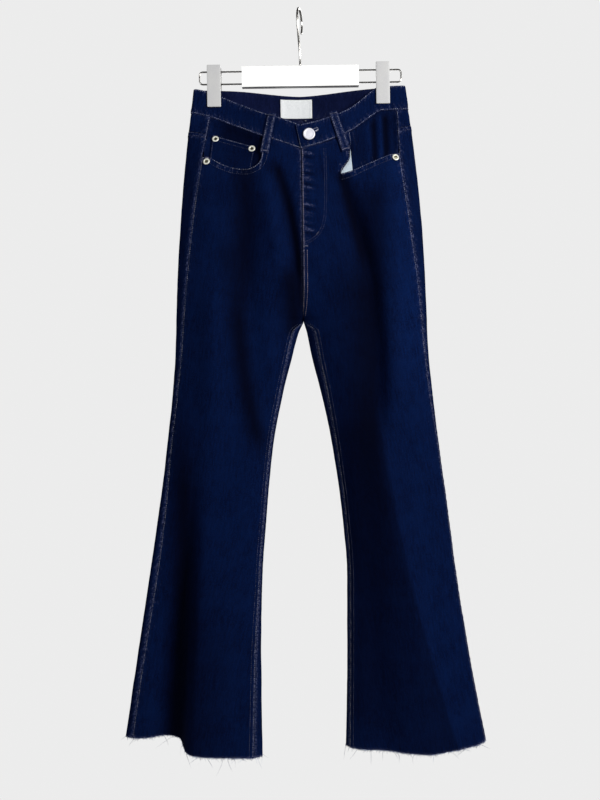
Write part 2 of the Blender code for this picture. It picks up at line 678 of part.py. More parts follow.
BUTTON_PROFILE = ((6.0, 0.0), (6.2, 0.9), (8.6, 1.1), (9.0, 1.9), (8.3, 2.7), (6.8, 2.9), (6.2, 2.5), (3.0, 2.6))
RIVET_PROFILE = ((4.6, 0.0), (5.2, 0.35), (4.9, 1.0), (3.6, 1.35), (2.4, 1.1), (1.2, 0.7))


def trims(finish):
    band_top = BAND_PROUD + (BAND_WALL + LAYER_GAP) / 2
    half = HALVES[1]
    turned("waist_button", BUTTON_PROFILE, 1, half.lap_of(11.5, -202), -202.5, band_top + LAYER_GAP, finish, 20)
    places = (
        ("rivet_1", -1, 132.6, -200.7, -(WALL + LAYING_GAP)),
        ("rivet_2", -1, 75.7, -219.7, -(WALL + LAYING_GAP)),
        ("rivet_3", -1, 143.8, -240.7, 0.0),
        ("rivet_4", 1, 142.5, -237.8, 0.0),
    )
    for name, side, across, height, lift in places:
        lap = HALVES[side].lap_of(across, height)
        turned(name, RIVET_PROFILE, side, lap, height, lift + LAYER_GAP, finish, 12)


def waist_label(finish):
    """A plain woven label inside the back of the waistband."""
    half = HALVES[1]
    heights = np.linspace(-132.5, -162.0, 4)
    across = np.linspace(-29.6, 17.8, 7)
    lap = np.zeros((4, 7))
    height = np.zeros((4, 7))
    for r, z in enumerate(heights):
        for c, x in enumerate(across):
            height[r, c] = z
            lap[r, c] = half.lap_of(x, z, "back")
    return patch("waist_label", 1, lap, height, BAND_PROUD - BAND_WALL - LAYER_GAP, LABEL_WALL, finish)


def tube(name, points, wire, finish, closed=False):
    """Round wire through points in millimetres."""
    data = bpy.data.curves.new(name, "CURVE")
    data.dimensions = "3D"
    data.bevel_depth = wire / 2 * MM
    data.bevel_resolution = 2
    data.use_fill_caps = not closed
    spline = data.splines.new("POLY")
    spline.points.add(len(points) - 1)
    for point, place_at in zip(spline.points, points):
        point.co = (*(Vector(place_at) * MM), 1.0)
    spline.use_cyclic_u = closed
    data.materials.append(finish)
    item = bpy.data.objects.new(name, data)
    bpy.context.scene.collection.objects.link(item)
    return item


def hook_points():
    """Up from the sleeve, forward round the rail, over it and down behind, turned a little about the vertical."""
    radius = RAIL_CLEAR_RADIUS + HOOK_WIRE / 2
    centre = -radius + HOOK_WIRE / 2
    bottom = SLEEVE_TOP + LAYER_GAP
    path = [(0.0, bottom), (0.0, bottom + 8)]
    for number in range(1, 8):
        t = number / 8
        path.append((blend(0.0, -radius, t * t * (3 - 2 * t)), blend(bottom + 8, centre, t)))
    for number in range(0, 21):
        angle = math.pi + number / 20 * math.radians(-225)
        path.append((radius * math.cos(angle), centre + radius * math.sin(angle)))
    return [(y * math.sin(HOOK_TWIST), y * math.cos(HOOK_TWIST), z) for y, z in path]


def loop_points():
    """The long closed wire loop that carries the clips."""
    middle = (LOOP_TOP + LOOP_BOTTOM) / 2
    half_height = (LOOP_TOP - LOOP_BOTTOM) / 2
    points = []
    for corner_x, corner_z, start in ((1, 1, 0), (-1, 1, 90), (-1, -1, 180), (1, -1, 270)):
        for step in range(5):
            angle = math.radians(start + step * 22.5)
            x = corner_x * (LOOP_HALF_WIDTH - LOOP_CORNER) + LOOP_CORNER * math.cos(angle)
            z = middle + corner_z * (half_height - LOOP_CORNER) + LOOP_CORNER * math.sin(angle)
            points.append((x, 0.0, z))
    return points


def box_mesh(made, low, high):
    """Add a block between two corners in millimetres."""
    size = [(b - a) * MM for a, b in zip(low, high)]
    centre = [(a + b) / 2 * MM for a, b in zip(low, high)]
    spread = Matrix.Translation(centre) @ Matrix.Diagonal((*size, 1.0))
    return bmesh.ops.create_cube(made, size=1.0, matrix=spread)["verts"]


def block(name, low, high, finish, edge=0.0):
    made = bmesh.new()
    box_mesh(made, low, high)
    if edge:
        bmesh.ops.bevel(made, geom=made.edges[:], offset=edge * MM, segments=2, profile=0.5, affect="EDGES")
    mesh = bpy.data.meshes.new(name)
    made.to_mesh(mesh)
    made.free()
    return place(name, mesh, finish)


def sleeve(finish):
    """The plain sleeve over the middle of the loop: an outline run along X, with a slot for each wire."""
    half = SLEEVE_THICKNESS / 2
    slot = LOOP_WIRE / 2 + LAYER_GAP
    corner = 1.2
    outline = [(-half + corner, SLEEVE_TOP), (half - corner, SLEEVE_TOP), (half, SLEEVE_TOP - corner)]
    for wire in (LOOP_TOP, LOOP_BOTTOM):
        outline += [(half, wire + slot), (-slot, wire + slot), (-slot, wire - slot), (half, wire - slot)]
    outline += [(half, SLEEVE_BOTTOM), (-half, SLEEVE_BOTTOM), (-half, SLEEVE_TOP - corner)]
    made = bmesh.new()
    ends = []
    for x in (-SLEEVE_HALF_WIDTH, SLEEVE_HALF_WIDTH):
        ends.append([made.verts.new((x * MM, y * MM, z * MM)) for y, z in outline])
    count = len(outline)
    for number in range(count):
        after = (number + 1) % count
        made.faces.new((ends[0][number], ends[0][after], ends[1][after], ends[1][number]))
    made.faces.new(ends[0])
    made.faces.new(list(reversed(ends[1])))
    bmesh.ops.recalc_face_normals(made, faces=made.faces)
    mesh = bpy.data.meshes.new("hanger_sleeve")
    made.to_mesh(mesh)
    made.free()
    return place("hanger_sleeve", mesh, finish, smooth=False)


def clip(side, finish, steel):
    """Two flat jaws that pinch the waistband, and the spring bar between the wires that joins them."""
    name = "clip_" + SIDE_NAMES[side]
    x = CLIP_X[side]
    near = FLAT_HALF_THICKNESS + BAND_PROUD + LAYER_GAP
    half = CLIP_WIDTH / 2
    top, bottom = CLIP_TOP[side], CLIP_BOTTOM[side]
    block(name + "_front_jaw", (x - half, -near - JAW_THICKNESS, bottom), (x + half, -near, top), finish, 0.6)
    block(name + "_back_jaw", (x - half + 1, near, bottom), (x + half + 1, near + JAW_THICKNESS, top - 2),
          finish, 0.6)
    room = LOOP_WIRE / 2 + LAYER_GAP
    reach = near - LAYER_GAP
    block(name + "_spring", (x - half + 3, -reach, LOOP_BOTTOM + room), (x + half - 3, reach, LOOP_TOP - room), steel, 0.5)


def main():
    clear_scene()
    denim = material("denim", (0.006, 0.014, 0.072), 0.85)
    lining = material("lining", (0.55, 0.62, 0.72), 0.9)
    label = material("label", (0.85, 0.86, 0.87), 0.7)
    metal = material("trim_metal", (0.78, 0.78, 0.80), 0.3, 1.0)
    steel = material("hanger_steel", (0.30, 0.29, 0.27), 0.3, 1.0)
    sleeve_finish = material("hanger_white", (0.86, 0.86, 0.84), 0.5)
    clip_finish = material("clip_grey", (0.50, 0.50, 0.50), 0.4)
    for side in (-1, 1):
        HALVES[side] = Half(side)
    for side in (-1, 1):
        front_panel(side, denim)
        back_panel(side, denim)
        yoke(side, denim)
        pocket_facing(side, denim)
        back_pocket(side, denim)
        clip(side, clip_finish, steel)
    waistband(denim)
    fly_underlap(denim)
    coin_pocket(denim)
    pocket_lining(lining)
    belt_loops(denim)
    trims(metal)
    waist_label(label)
    tube("hanger_hook", hook_points(), HOOK_WIRE, steel)
    tube("hanger_loop", loop_points(), LOOP_WIRE, steel, closed=True)
    sleeve(sleeve_finish)


main()
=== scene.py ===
"""High-waisted flared jeans on a clip hanger: fine cloth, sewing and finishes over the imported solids.

Sizes are in millimetres until a mesh is made. Left and right are the wearer's, and the left leg is at +X.
The cloth of each half is read by a lap, 0 at the centre front or inseam, 1 at the outseam and 2 at the centre
back or inseam again, and by a height below the hook.
"""
import math

import bmesh
import bpy
import numpy as np
from mathutils import Matrix, Vector


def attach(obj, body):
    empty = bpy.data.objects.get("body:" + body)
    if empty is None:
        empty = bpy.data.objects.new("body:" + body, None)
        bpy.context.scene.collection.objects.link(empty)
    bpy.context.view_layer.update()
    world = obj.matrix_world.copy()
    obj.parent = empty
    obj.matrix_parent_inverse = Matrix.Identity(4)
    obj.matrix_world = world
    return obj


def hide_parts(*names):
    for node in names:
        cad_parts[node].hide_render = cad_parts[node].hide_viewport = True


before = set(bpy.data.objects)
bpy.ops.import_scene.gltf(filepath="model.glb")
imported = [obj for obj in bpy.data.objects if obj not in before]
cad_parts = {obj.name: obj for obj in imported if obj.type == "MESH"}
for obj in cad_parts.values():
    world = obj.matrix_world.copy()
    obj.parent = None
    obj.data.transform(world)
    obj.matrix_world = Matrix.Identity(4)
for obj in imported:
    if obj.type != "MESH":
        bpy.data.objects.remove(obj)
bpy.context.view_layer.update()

MM = 0.001

# Cloth
WALL = 1.5
SEAM = 0.0009
BAND_WALL = 2.0
BAND_PROUD = 0.5
BAND_HEIGHT = 37.5
HALF_WAIST = 188
LAYER_GAP = 0.3
LAYING_GAP = 0.9
COIN_WALL = 1.0
FACING_WALL = 1.2
POCKET_WALL = 1.3
LINING_WALL = 1.0
LINING_BEHIND = 1.3
LOOP_WALL = 1.5
LOOP_WIDTH = 12.5
UNDERLAP_WALL = 1.2
LABEL_WALL = 1.0
OVERLAP_RISE = 1.3

# Heights below the hook
CROTCH = -479.0
CROTCH_DEPTH = 8.0
FLY_END_LOW = -371
FLY_END_TOP = -362
RISE_END_LOW = -372
RISE_END_TOP = -360
FRONT_TOP_LEVEL = -215.0
BACK_TOP_LEVEL = -210.0
HEM = -1137.0
LEVEL_BELOW = -350.0
FOLLOW_HEM = 160.0
LEG_SHAPE_BELOW = -262.0
PINCH_ABOVE = -158.0
PINCH_GONE = -176.0

# Cloth between and beside the clips
ARCH_HALF = 118.0
FLAT_HALF_THICKNESS = 3.0
SPREAD_UNDER_CLIP = 2.4
FOLD_RADIUS = 3.6
FRONT_ARCH = 29.0
BACK_ARCH = 18.0

# Rounding of a leg across its width
INNER_ROUND = 0.40
OUTER_ROUND = 0.42
FRONT_RISE_LENGTH = 150.0
BACK_RISE_LENGTH = 130.0

# Hanger
HOOK_WIRE = 3.4
RAIL_CLEAR_RADIUS = 17.0
HOOK_TWIST = math.radians(11)
LOOP_WIRE = 2.4
LOOP_HALF_WIDTH = 156.0
LOOP_TOP = -93.4
LOOP_BOTTOM = -112.6
LOOP_CORNER = 5.0
SLEEVE_TOP = -86.2
CLIP_X = {-1: -133.7, 1: 127.3}
CLIP_WIDTH = 21.0
CLIP_TOP = {-1: -84.2, 1: -82.6}
CLIP_BOTTOM = {-1: -149.1, 1: -147.5}
JAW_THICKNESS = 2.4

SIDE_NAMES = {-1: "right", 1: "left"}

# Brightness of the room as the camera sees it and as it lights the cloth, and the floor's size in metres
ROOM_SEEN = 0.84
ROOM_LIGHT = 0.10
FLOOR_RADIUS = 0.7
FLOOR_HEIGHT = -1.6

# How close sewn edges come to each other here: in millimetres, and as a share of a face of a half
SEWN_GAP = 0.05
SEWN = 0.0001

# Depth of a fold at which its painted shade is darkest, and the painted shade of plain cloth, where 0 is none
PAINTED_SHADE_DEPTH = 9.0
PLAIN_PAINTED_SHADE = 0.26

# One row for each section of a half. edge_in and edge_out are its inner and outer outline, inseam and
# outseam lie that far in from them on the front, depth_in and depth_out set the outline back, front and back
# are its fullness.
SECTION_COLUMNS = ("height", "edge_in", "edge_out", "inseam", "outseam", "depth_in", "depth_out", "front",
                   "back")
SECTIONS = {
    -1: (
        (-110, 0, 164, 0, 31, 0, 0, 26, 20),
        (-155, 0, 170, 0, 31, 0, 0, 29, 24),
        (-235, 0, 180, 0, 28, 0, 0, 33, 38),
        (-340, 0, 190, 0, 21, 4, 2, 34, 52),
        (-430, 0, 196, 0, 16, 8, 4, 32, 50),
        (-479, 0, 198, 0, 13, 8, 5, 31, 44),
        (-498, 8, 198.5, 8, 12, 7, 5, 31, 42),
        (-541, 20, 201, 7, 11, 5, 5, 30, 38),
        (-588, 32.5, 205, 5, 9, 4, 5, 29, 34),
        (-680, 51, 216, 4, 8, 0, 5, 27, 30),
        (-774, 60.5, 229.5, 4, 11, -4, 6, 26, 28),
        (-866, 68.5, 244.5, 4, 12, -9, 8, 26, 27),
        (-1000, 72, 267.5, 8, 11, -18, 14, 25, 28),
        (-1150, 71.5, 293, 13, 13, -26, 20, 24, 30),
    ),
    1: (
        (-110, 0, 161, 0, 18, 0, 0, 26, 20),
        (-155, 0, 166.5, 0, 19, 0, 0, 29, 24),
        (-235, 0, 176, 0, 26, 0, 0, 33, 38),
        (-340, 0, 185.5, 0, 21, 4, 2, 34, 52),
        (-430, 0, 190, 0, 13, 8, 4, 32, 50),
        (-479, 0, 191.5, 0, 10, 8, 5, 31, 44),
        (-498, 4.5, 192, 12, 9, 7, 5, 31, 42),
        (-541, 13, 194, 11, 7, 5, 5, 30, 38),
        (-588, 24.5, 198, 9, 6, 4, 5, 29, 34),
        (-680, 42.5, 207, 6, 2, 2, 4, 27, 30),
        (-774, 54.5, 218.5, 5, 1.5, 0, 2, 27, 28),
        (-866, 61.5, 229, 4, 1.5, 0, 0, 28, 28),
        (-1000, 60, 248.5, 4, 1.5, 0, 0, 30, 29),
        (-1150, 56, 275.5, 5, 1.5, 0, 0, 32, 30),
    ),
}

# One row for each large fold. A positive rise stands out of the cloth. top_x, mid_x and low_x are its
# distances from the middle of the body, near and far are the half widths of its slopes towards the middle and
# away from it.
FOLD_COLUMNS = ("side", "face", "top", "low", "top_x", "mid_x", "low_x", "near", "far", "rise", "ease_top",
                "ease_low")
FOLDS = (
    (-1, "front", -640, -1200, 168, 190, 210, 12, 44, -38, 420, 40),
    (-1, "front", -640, -1200, 140, 160, 178, 40, 14, 7, 250, 40),
    (-1, "front", -370, -760, 136, 139, 148, 22, 22, 8, 120, 160),
    (-1, "front", -270, -700, 88, 80, 56, 20, 22, -8, 110, 150),
    (-1, "front", -240, -440, 58, 46, 30, 13, 15, 6, 70, 80),
    (-1, "front", -240, -470, 38, 18, 4, 9, 10, -6, 80, 80),
    (-1, "back", -640, -1200, 180, 200, 215, 40, 34, 10, 300, 40),
    (-1, "back", -700, -1200, 120, 125, 130, 26, 34, 9, 260, 60),
    (-1, "back", -360, -520, 40, 70, 95, 14, 20, -7, 70, 80),
    (1, "front", -262, -700, 62, 110, 106, 26, 13, -10, 100, 150),
    (1, "front", -380, -680, 112, 126, 128, 14, 26, 6, 130, 110),
    (1, "front", -600, -1200, 112, 152, 188, 46, 26, 11, 160, 40),
    (1, "front", -760, -1200, 84, 100, 118, 22, 24, -6, 200, 60),
    (1, "back", -640, -1200, 120, 148, 170, 34, 30, 10, 240, 40),
    (1, "back", -700, -1200, 90, 98, 105, 20, 26, -8, 240, 60),
    (1, "back", -360, -520, 44, 70, 92, 14, 20, -6, 70, 80),
)

# Smaller creases, in the same columns
CREASES = (
    (-1, "front", -262, -380, 150, 146, 140, 8, 12, 1.6, 60, 60),
    (-1, "front", -500, -900, 60, 78, 90, 12, 16, 1.8, 120, 160),
    (-1, "front", -820, -1190, 96, 104, 112, 16, 20, -1.8, 120, 60),
    (-1, "back", -520, -900, 60, 84, 100, 14, 20, 2.6, 120, 160),
    (-1, "back", -420, -700, 130, 128, 140, 18, 22, 3.0, 100, 140),
    (-1, "back", -240, -400, 24, 30, 40, 9, 14, -2.0, 60, 80),
    (1, "front", -262, -400, 150, 152, 156, 9, 9, 1.4, 70, 80),
    (1, "front", -600, -1000, 66, 76, 84, 12, 14, 1.6, 140, 180),
    (1, "front", -600, -1200, 107, 160, 246, 26, 6, 2.4, 90, 20),
    (-1, "front", -250, -480, 80, 83, 92, 14, 18, -2.2, 60, 110),
    (-1, "front", -240, -440, 40, 14, 10, 7, 8, -2.0, 40, 60),
    (-1, "front", -400, -640, 140, 138, 136, 16, 18, 1.6, 90, 90),
    (1, "front", -262, -430, 58, 84, 104, 8, 9, -2.6, 14, 70),
    (1, "front", -270, -520, 134, 134, 136, 10, 20, 2.0, 50, 120),
    (1, "back", -520, -900, 58, 80, 92, 14, 18, 2.4, 120, 160),
    (1, "back", -420, -720, 132, 134, 146, 18, 20, 3.2, 110, 160),
    (1, "back", -240, -400, 28, 36, 44, 10, 12, -2.0, 60, 80),
)

# Painted shade in the hollows of the folds, in the same columns. The rise is how dark they are; the row with
# a negative rise paints a lighter band.
PAINTED_SHADING = (
    (-1, "front", -232, -505, 44, 9, 5, 8, 10, 0.92, 26, 60),
    (-1, "front", -385, -512, 16, 16, 10, 12, 20, 0.92, 36, 16),
    (-1, "front", -222, -500, 84, 87, 96, 17, 23, 0.80, 34, 110),
    (-1, "front", -385, -705, 98, 94, 60, 14, 17, 0.88, 110, 60),
    (-1, "front", -345, -435, 118, 114, 108, 18, 15, 0.45, 40, 40),
    (-1, "front", -560, -1200, 188, 191, 212, 20, 22, 0.92, 200, 10),
    (-1, "front", -820, -1200, 174, 172, 180, 50, 8, 0.42, 160, 10),
    (1, "front", -256, -440, 56, 82, 104, 9, 13, 0.94, 12, 70),
    (1, "front", -266, -480, 110, 112, 108, 40, 13, 0.66, 40, 110),
    (1, "front", -360, -770, 104, 104, 92, 54, 19, 0.88, 90, 130),
    (1, "front", -600, -1200, 104, 158, 244, 84, 3.5, 0.46, 70, 10),
    (1, "front", -560, -960, 98, 118, 160, 36, 5, 0.55, 90, 300),
    (1, "front", -640, -1180, 86, 82, 88, 24, 46, 0.55, 120, 120),
    (1, "front", -225, -690, 150, 156, 165, 16, 50, -0.42, 30, 220),
)

# Short creases across the cloth: distance from the middle and height of each end, half width and rise
DRAG_COLUMNS = ("side", "face", "x_a", "z_a", "x_b", "z_b", "width", "rise")
DRAGS = (
    (-1, "front", 6, -408, 60, -362, 5.5, -1.4),
    (-1, "front", 8, -432, 78, -400, 6.5, 1.5),
    (-1, "front", 10, -455, 64, -442, 5.0, -1.1),
    (-1, "front", 120, -590, 190, -566, 9.0, 0.9),
    (-1, "front", 96, -650, 170, -672, 10.0, -0.8),
    (1, "front", 8, -410, 58, -368, 6.0, 1.4),
    (1, "front", 10, -436, 76, -410, 5.5, -1.3),
    (1, "front", 12, -458, 60, -446, 5.0, 1.0),
    (1, "front", 92, -610, 170, -588, 9.0, 0.8),
    (1, "front", 100, -720, 168, -744, 11.0, -0.7),
    (-1, "back", 10, -395, 90, -372, 7.0, -2.0),
    (-1, "back", 12, -425, 110, -415, 8.0, 2.2),
    (-1, "back", 60, -640, 150, -622, 8.0, 1.6),
    (-1, "back", 56, -668, 140, -655, 8.0, -1.4),
    (1, "back", 10, -400, 96, -378, 7.0, -2.0),
    (1, "back", 12, -430, 104, -422, 8.0, 2.0),
    (1, "back", 60, -630, 146, -612, 8.0, 1.5),
    (1, "back", 58, -660, 150, -652, 9.0, -1.5),
)

# Height of the waist seam round each half, by lap
WAIST_SEAM = {
    -1: ((0, -224), (0.27, -208.3), (0.41, -200.5), (0.67, -184), (0.875, -171.5), (1, -164.5), (1.15, -158),
         (1.45, -159.7), (2, -164.5)),
    1: ((0, -224), (0.2, -215.5), (0.36, -205.3), (0.452, -198), (0.533, -191), (0.69, -173), (0.767, -164),
        (0.842, -158), (0.9, -157.3), (1.12, -156.8), (1.45, -159.7), (2, -164.5)),
}

# Height of the front pocket's mouth, by lap. Nearer the middle than its first row the panel reaches the waist
# seam. On the left the cloth beside the mouth's steep end hangs outwards over the pocket.
POCKET_MOUTH = {
    -1: ((0.372, -203), (0.392, -222), (0.401, -236.5), (0.42, -243.5), (0.455, -249), (0.54, -253.2),
         (0.63, -252.4), (0.775, -245.4), (0.92, -233.9), (1, -232)),
    1: ((0.345, -196), (0.356, -222), (0.363, -243), (0.369, -255), (0.378, -262.3), (0.44, -260),
        (0.52, -255.9), (0.61, -250.4), (0.76, -240.6), (0.92, -231.5), (1, -229.5)),
}
STEEP_END = {-1: 0.47, 1: 0.44}
FACING_BELOW_MOUTH = 15.0
FACING_START = {-1: 0.36, 1: 0.503}
LINING_LAPS = (0.30, 0.5008)
MOUTH_HANG = 0.13
MOUTH_HANG_TOP = 0.03
LINING_HEIGHTS = (-214.0, -278.0)

# Drop of the hem from its level, by lap
HEM_DROP = {
    -1: ((0, 4), (0.3, 2), (0.6, -3), (0.8, -12), (1, -11), (1.4, -8), (1.8, 2), (2, 4)),
    1: ((0, 0), (0.5, 0), (0.9, -3), (1, -5), (1.5, -2), (2, 0)),
}

# Height of the back yoke's lower seam, by lap
YOKE_SEAM = {
    -1: ((1, -194), (1.06, -189.5), (1.15, -187), (1.5, -207), (2, -232)),
    1: ((1, -187.5), (1.12, -182), (1.22, -184), (1.5, -205), (2, -232)),
}

# The fly's curved sewing: distance from the centre front, by height
FLY_SEWING = ((-217, 36.6), (-281, 37.2), (-325, 35.6), (-341, 32.0), (-350.5, 27.7), (-357, 22.5),
              (-362, 16.4), (-366, 9.0), (-368, 3.0))


def curve(rows, value):
    """A smooth curve through rows of (place, size), with no overshoot, read at one value or at many."""
    xs = np.array([row[0] for row in rows], float)
    ys = np.array([row[1] for row in rows], float)
    if xs[0] > xs[-1]:
        xs = xs[::-1]
        ys = ys[::-1]
    step = np.diff(xs)
    slope = np.diff(ys) / step
    tangent = np.zeros(len(xs))
    product = slope[:-1] * slope[1:]
    tangent[1:-1] = np.where(product > 0, 2 * product / np.where(product > 0, slope[:-1] + slope[1:], 1), 0)
    tangent[0] = slope[0]
    tangent[-1] = slope[-1]
    value = np.clip(np.asarray(value, float), xs[0], xs[-1])
    spot = np.clip(np.searchsorted(xs, value, side="right") - 1, 0, len(step) - 1)
    h = step[spot]
    t = (value - xs[spot]) / h
    low = ys[spot] * (1 + 2 * t) * (1 - t) ** 2 + ys[spot + 1] * t * t * (3 - 2 * t)
    return low + h * (tangent[spot] * t * (1 - t) ** 2 - tangent[spot + 1] * t * t * (1 - t))


def ramp(low, high, value):
    """0 below low, 1 above high, smooth between."""
    t = np.clip((np.asarray(value, float) - low) / (high - low), 0, 1)
    return t * t * (3 - 2 * t)


def blend(a, b, share):
    return a + (b - a) * share


def unit(arrows, least=0.0):
    return arrows / np.maximum(np.linalg.norm(arrows, axis=-1, keepdims=True), least)


def run_along(points):
    """Length of the line through points, up to each of them."""
    return np.concatenate(([0], np.cumsum(np.linalg.norm(np.diff(points, axis=0), axis=-1))))


def read_along(points, run, at):
    """Points read at lengths along the line through them."""
    return np.stack([np.interp(at, run, points[:, k]) for k in range(3)], axis=-1)


def hill(distance, width):
    """1 at a place, falling smoothly to almost 0 at twice the width from it."""
    return np.exp(-(distance / width) ** 2)


def uneven(x, y, size, seed):
    """Soft random hills of about one size, between -1 and 1."""
    rng = np.random.default_rng(seed)
    lattice = rng.uniform(-1, 1, (64, 64))
    x, y = np.broadcast_arrays(np.asarray(x, float) / size, np.asarray(y, float) / size)
    i = np.floor(x).astype(int)
    j = np.floor(y).astype(int)
    u = ramp(0, 1, x - i)
    v = ramp(0, 1, y - j)
    low = blend(lattice[i % 64, j % 64], lattice[(i + 1) % 64, j % 64], u)
    high = blend(lattice[i % 64, (j + 1) % 64], lattice[(i + 1) % 64, (j + 1) % 64], u)
    return blend(low, high, v)


def ripple(along, length, seed):
    """Uneven puckers of about one length along a seam, between -1 and 1."""
    total = 0.0
    for number, (stretch, share) in enumerate(((0.62, 0.45), (1.0, 0.8), (1.41, 0.55), (2.2, 0.2))):
        phase = 1.7 * seed + 2.3 * number
        swing = 0.9 * np.sin(along / (2.7 * length) + phase)
        total = total + share * np.sin(2 * np.pi * along * stretch / length + phase + swing)
    return total / 1.6


def band(distance, start, end, soft=1.4):
    """1 between two distances from a seam, with soft sides."""
    begun = ramp(start - soft, start + soft * 0.2, distance)
    return begun * (1 - ramp(end - soft * 0.2, end + soft, distance))


class Half:
    """The cloth surface of one half of the body."""

    STEP = 4.0
    SAMPLES = 200

    def __init__(self, side):
        self.side = side
        rows = SECTIONS[side]
        self.columns = {}
        for number, name in enumerate(SECTION_COLUMNS[1:], start=1):
            self.columns[name] = [(row[0], row[number]) for row in rows]
        self.folds = [dict(zip(FOLD_COLUMNS, row)) for row in FOLDS if row[0] == side]
        self.creases = [dict(zip(FOLD_COLUMNS, row)) for row in CREASES if row[0] == side]
        self.painted_shading = [dict(zip(FOLD_COLUMNS, row)) for row in PAINTED_SHADING if row[0] == side]
        self.drags = [dict(zip(DRAG_COLUMNS, row)) for row in DRAGS if row[0] == side]
        self.levels = np.arange(HEM - 24, -100, self.STEP)
        self.turns = []
        self.front_lengths = []
        self.back_lengths = []
        for level in self.levels:
            self.measure(level)
        self.turns = np.array(self.turns)

    def size(self, name, height):
        return curve(self.columns[name], height)

    def fold_share(self, row, across, height):
        """The share of one fold's rise at a place across it, and along it."""
        along = (row["top"] - height) / (row["top"] - row["low"])
        bow = row["mid_x"] - (row["top_x"] + row["low_x"]) / 2
        centre = blend(row["top_x"], row["low_x"], along) + 4 * bow * np.clip(along * (1 - along), 0, 1)
        width = np.where(across < centre, row["near"], row["far"])
        strength = ramp(0, row["ease_top"], row["top"] - height)
        strength = strength * ramp(0, row["ease_low"], height - row["low"])
        return hill(across - centre, width), strength

    def fold(self, face, across, height):
        """How far the folds of one face stand out at a distance from the middle of the body."""
        total = np.zeros(np.broadcast(across, height).shape)
        for row in self.folds + self.creases:
            if row["face"] == face:
                share, strength = self.fold_share(row, across, height)
                total = total + row["rise"] * strength * share
        for row in self.drags:
            if row["face"] != face:
                continue
            run_x = row["x_b"] - row["x_a"]
            run_z = row["z_b"] - row["z_a"]
            length = math.hypot(run_x, run_z)
            along = ((across - row["x_a"]) * run_x + (height - row["z_a"]) * run_z) / length ** 2
            aside = ((across - row["x_a"]) * run_z - (height - row["z_a"]) * run_x) / length
            ends = ramp(-0.15, 0.3, along) * (1 - ramp(0.6, 1.15, along))
            total = total + row["rise"] * ends * hill(aside, row["width"])
        return total

    def centre_line(self, face, height):
        """Depth of the front or back centre seam, which curves under the body to the crotch."""
        if face == "front":
            length, full = FRONT_RISE_LENGTH, -self.size("front", height) + 0.5
        else:
            length, full = BACK_RISE_LENGTH, self.size("back", height) - 6.0
        share = np.clip((height - CROTCH) / length, 0, 1)
        return blend(CROTCH_DEPTH, full, np.sqrt(1 - (1 - share) ** 2))

    def face_depth(self, face, width, height):
        """Y of the front or back face, width being 0 at the inner outline and 1 at the outer."""
        sign = -1.0 if face == "front" else 1.0
        edge_in = self.size("edge_in", height)
        edge_out = self.size("edge_out", height)
        across = edge_in + (edge_out - edge_in) * width
        chord = blend(self.size("depth_in", height), self.size("depth_out", height), width)
        full = self.size(face, height)
        outer = np.clip((width - 1 + OUTER_ROUND) / OUTER_ROUND, 0, 1)
        body = chord + sign * full * np.sqrt(np.clip(1 - outer ** 2.3, 0, 1))
        inner = np.clip(width / INNER_ROUND, 0, 1)
        rounded = np.sqrt(1 - (1 - inner) ** 2)
        length = FRONT_RISE_LENGTH if face == "front" else BACK_RISE_LENGTH
        opened = np.clip((height - CROTCH) / length, 0, 1)
        rise = blend(rounded, ramp(0, 1, inner), ramp(0, 1, opened))
        middle = np.where(height > CROTCH, self.centre_line(face, height), self.size("depth_in", height))
        leg = blend(middle, body, rise)
        arch_full = FRONT_ARCH if face == "front" else BACK_ARCH
        flat = FLAT_HALF_THICKNESS + SPREAD_UNDER_CLIP * (1 - ramp(PINCH_GONE, PINCH_ABOVE, height))
        arch = 0.5 + 0.5 * np.cos(np.pi * np.clip(across / ARCH_HALF, 0, 1))
        roll = np.clip((across - edge_out + FOLD_RADIUS) / FOLD_RADIUS, 0, 1)
        waist = sign * (flat + (arch_full - flat) * arch) * np.sqrt(np.clip(1 - roll ** 2, 0, 1))
        depth = blend(leg, waist, ramp(LEG_SHAPE_BELOW, PINCH_ABOVE, height))
        inner_room = ramp(0, 16, (edge_out - edge_in) * width) + (height > CROTCH)
        room = ramp(0, 16, (edge_out - edge_in) * (1 - width)) * np.clip(inner_room, 0, 1)
        return depth + sign * self.fold(face, across, height) * room

    def point(self, turn, height):
        """X and Y at a turn. 0 to 1 crosses the front outwards, 1 to 2 the back inwards, 2 to 3 the front."""
        turn = np.asarray(turn, float)
        height = np.asarray(height, float)
        wrapped = np.where(turn > 2, turn - 2, turn)
        width = 0.5 - 0.5 * np.cos(np.pi * wrapped)
        edge_in = np.maximum(self.size("edge_in", height), LAYER_GAP / 2)
        edge_out = self.size("edge_out", height)
        across = edge_in + (edge_out - edge_in) * width
        front = self.face_depth("front", width, height)
        back = self.face_depth("back", width, height)
        return self.side * across, np.where(wrapped <= 1, front, back)

    def measure(self, height):
        """Keep, for one height, the turns that lie at even steps of the cloth's length between the seams."""
        grid = np.linspace(0, 1, 401)
        edge_in = max(float(self.size("edge_in", height)), LAYER_GAP / 2)
        edge_out = float(self.size("edge_out", height))
        width_in = float(self.size("inseam", height)) / (edge_out - edge_in)
        width_out = 1 - float(self.size("outseam", height)) / (edge_out - edge_in)
        turn_in = math.acos(1 - 2 * width_in) / math.pi
        turn_out = math.acos(1 - 2 * width_out) / math.pi
        kept = []
        faces = ((turn_in, turn_out, self.front_lengths), (turn_out, 2 + turn_in, self.back_lengths))
        for start, end, lengths in faces:
            turns = start + (end - start) * grid
            x, y = self.point(turns, np.full(turns.shape, height))
            run = np.concatenate(([0], np.cumsum(np.hypot(np.diff(x), np.diff(y)))))
            lengths.append(run[-1])
            kept.append(np.interp(np.linspace(0, run[-1], self.SAMPLES + 1), run, turns))
        self.turns.append(np.concatenate((kept[0], kept[1][1:])))

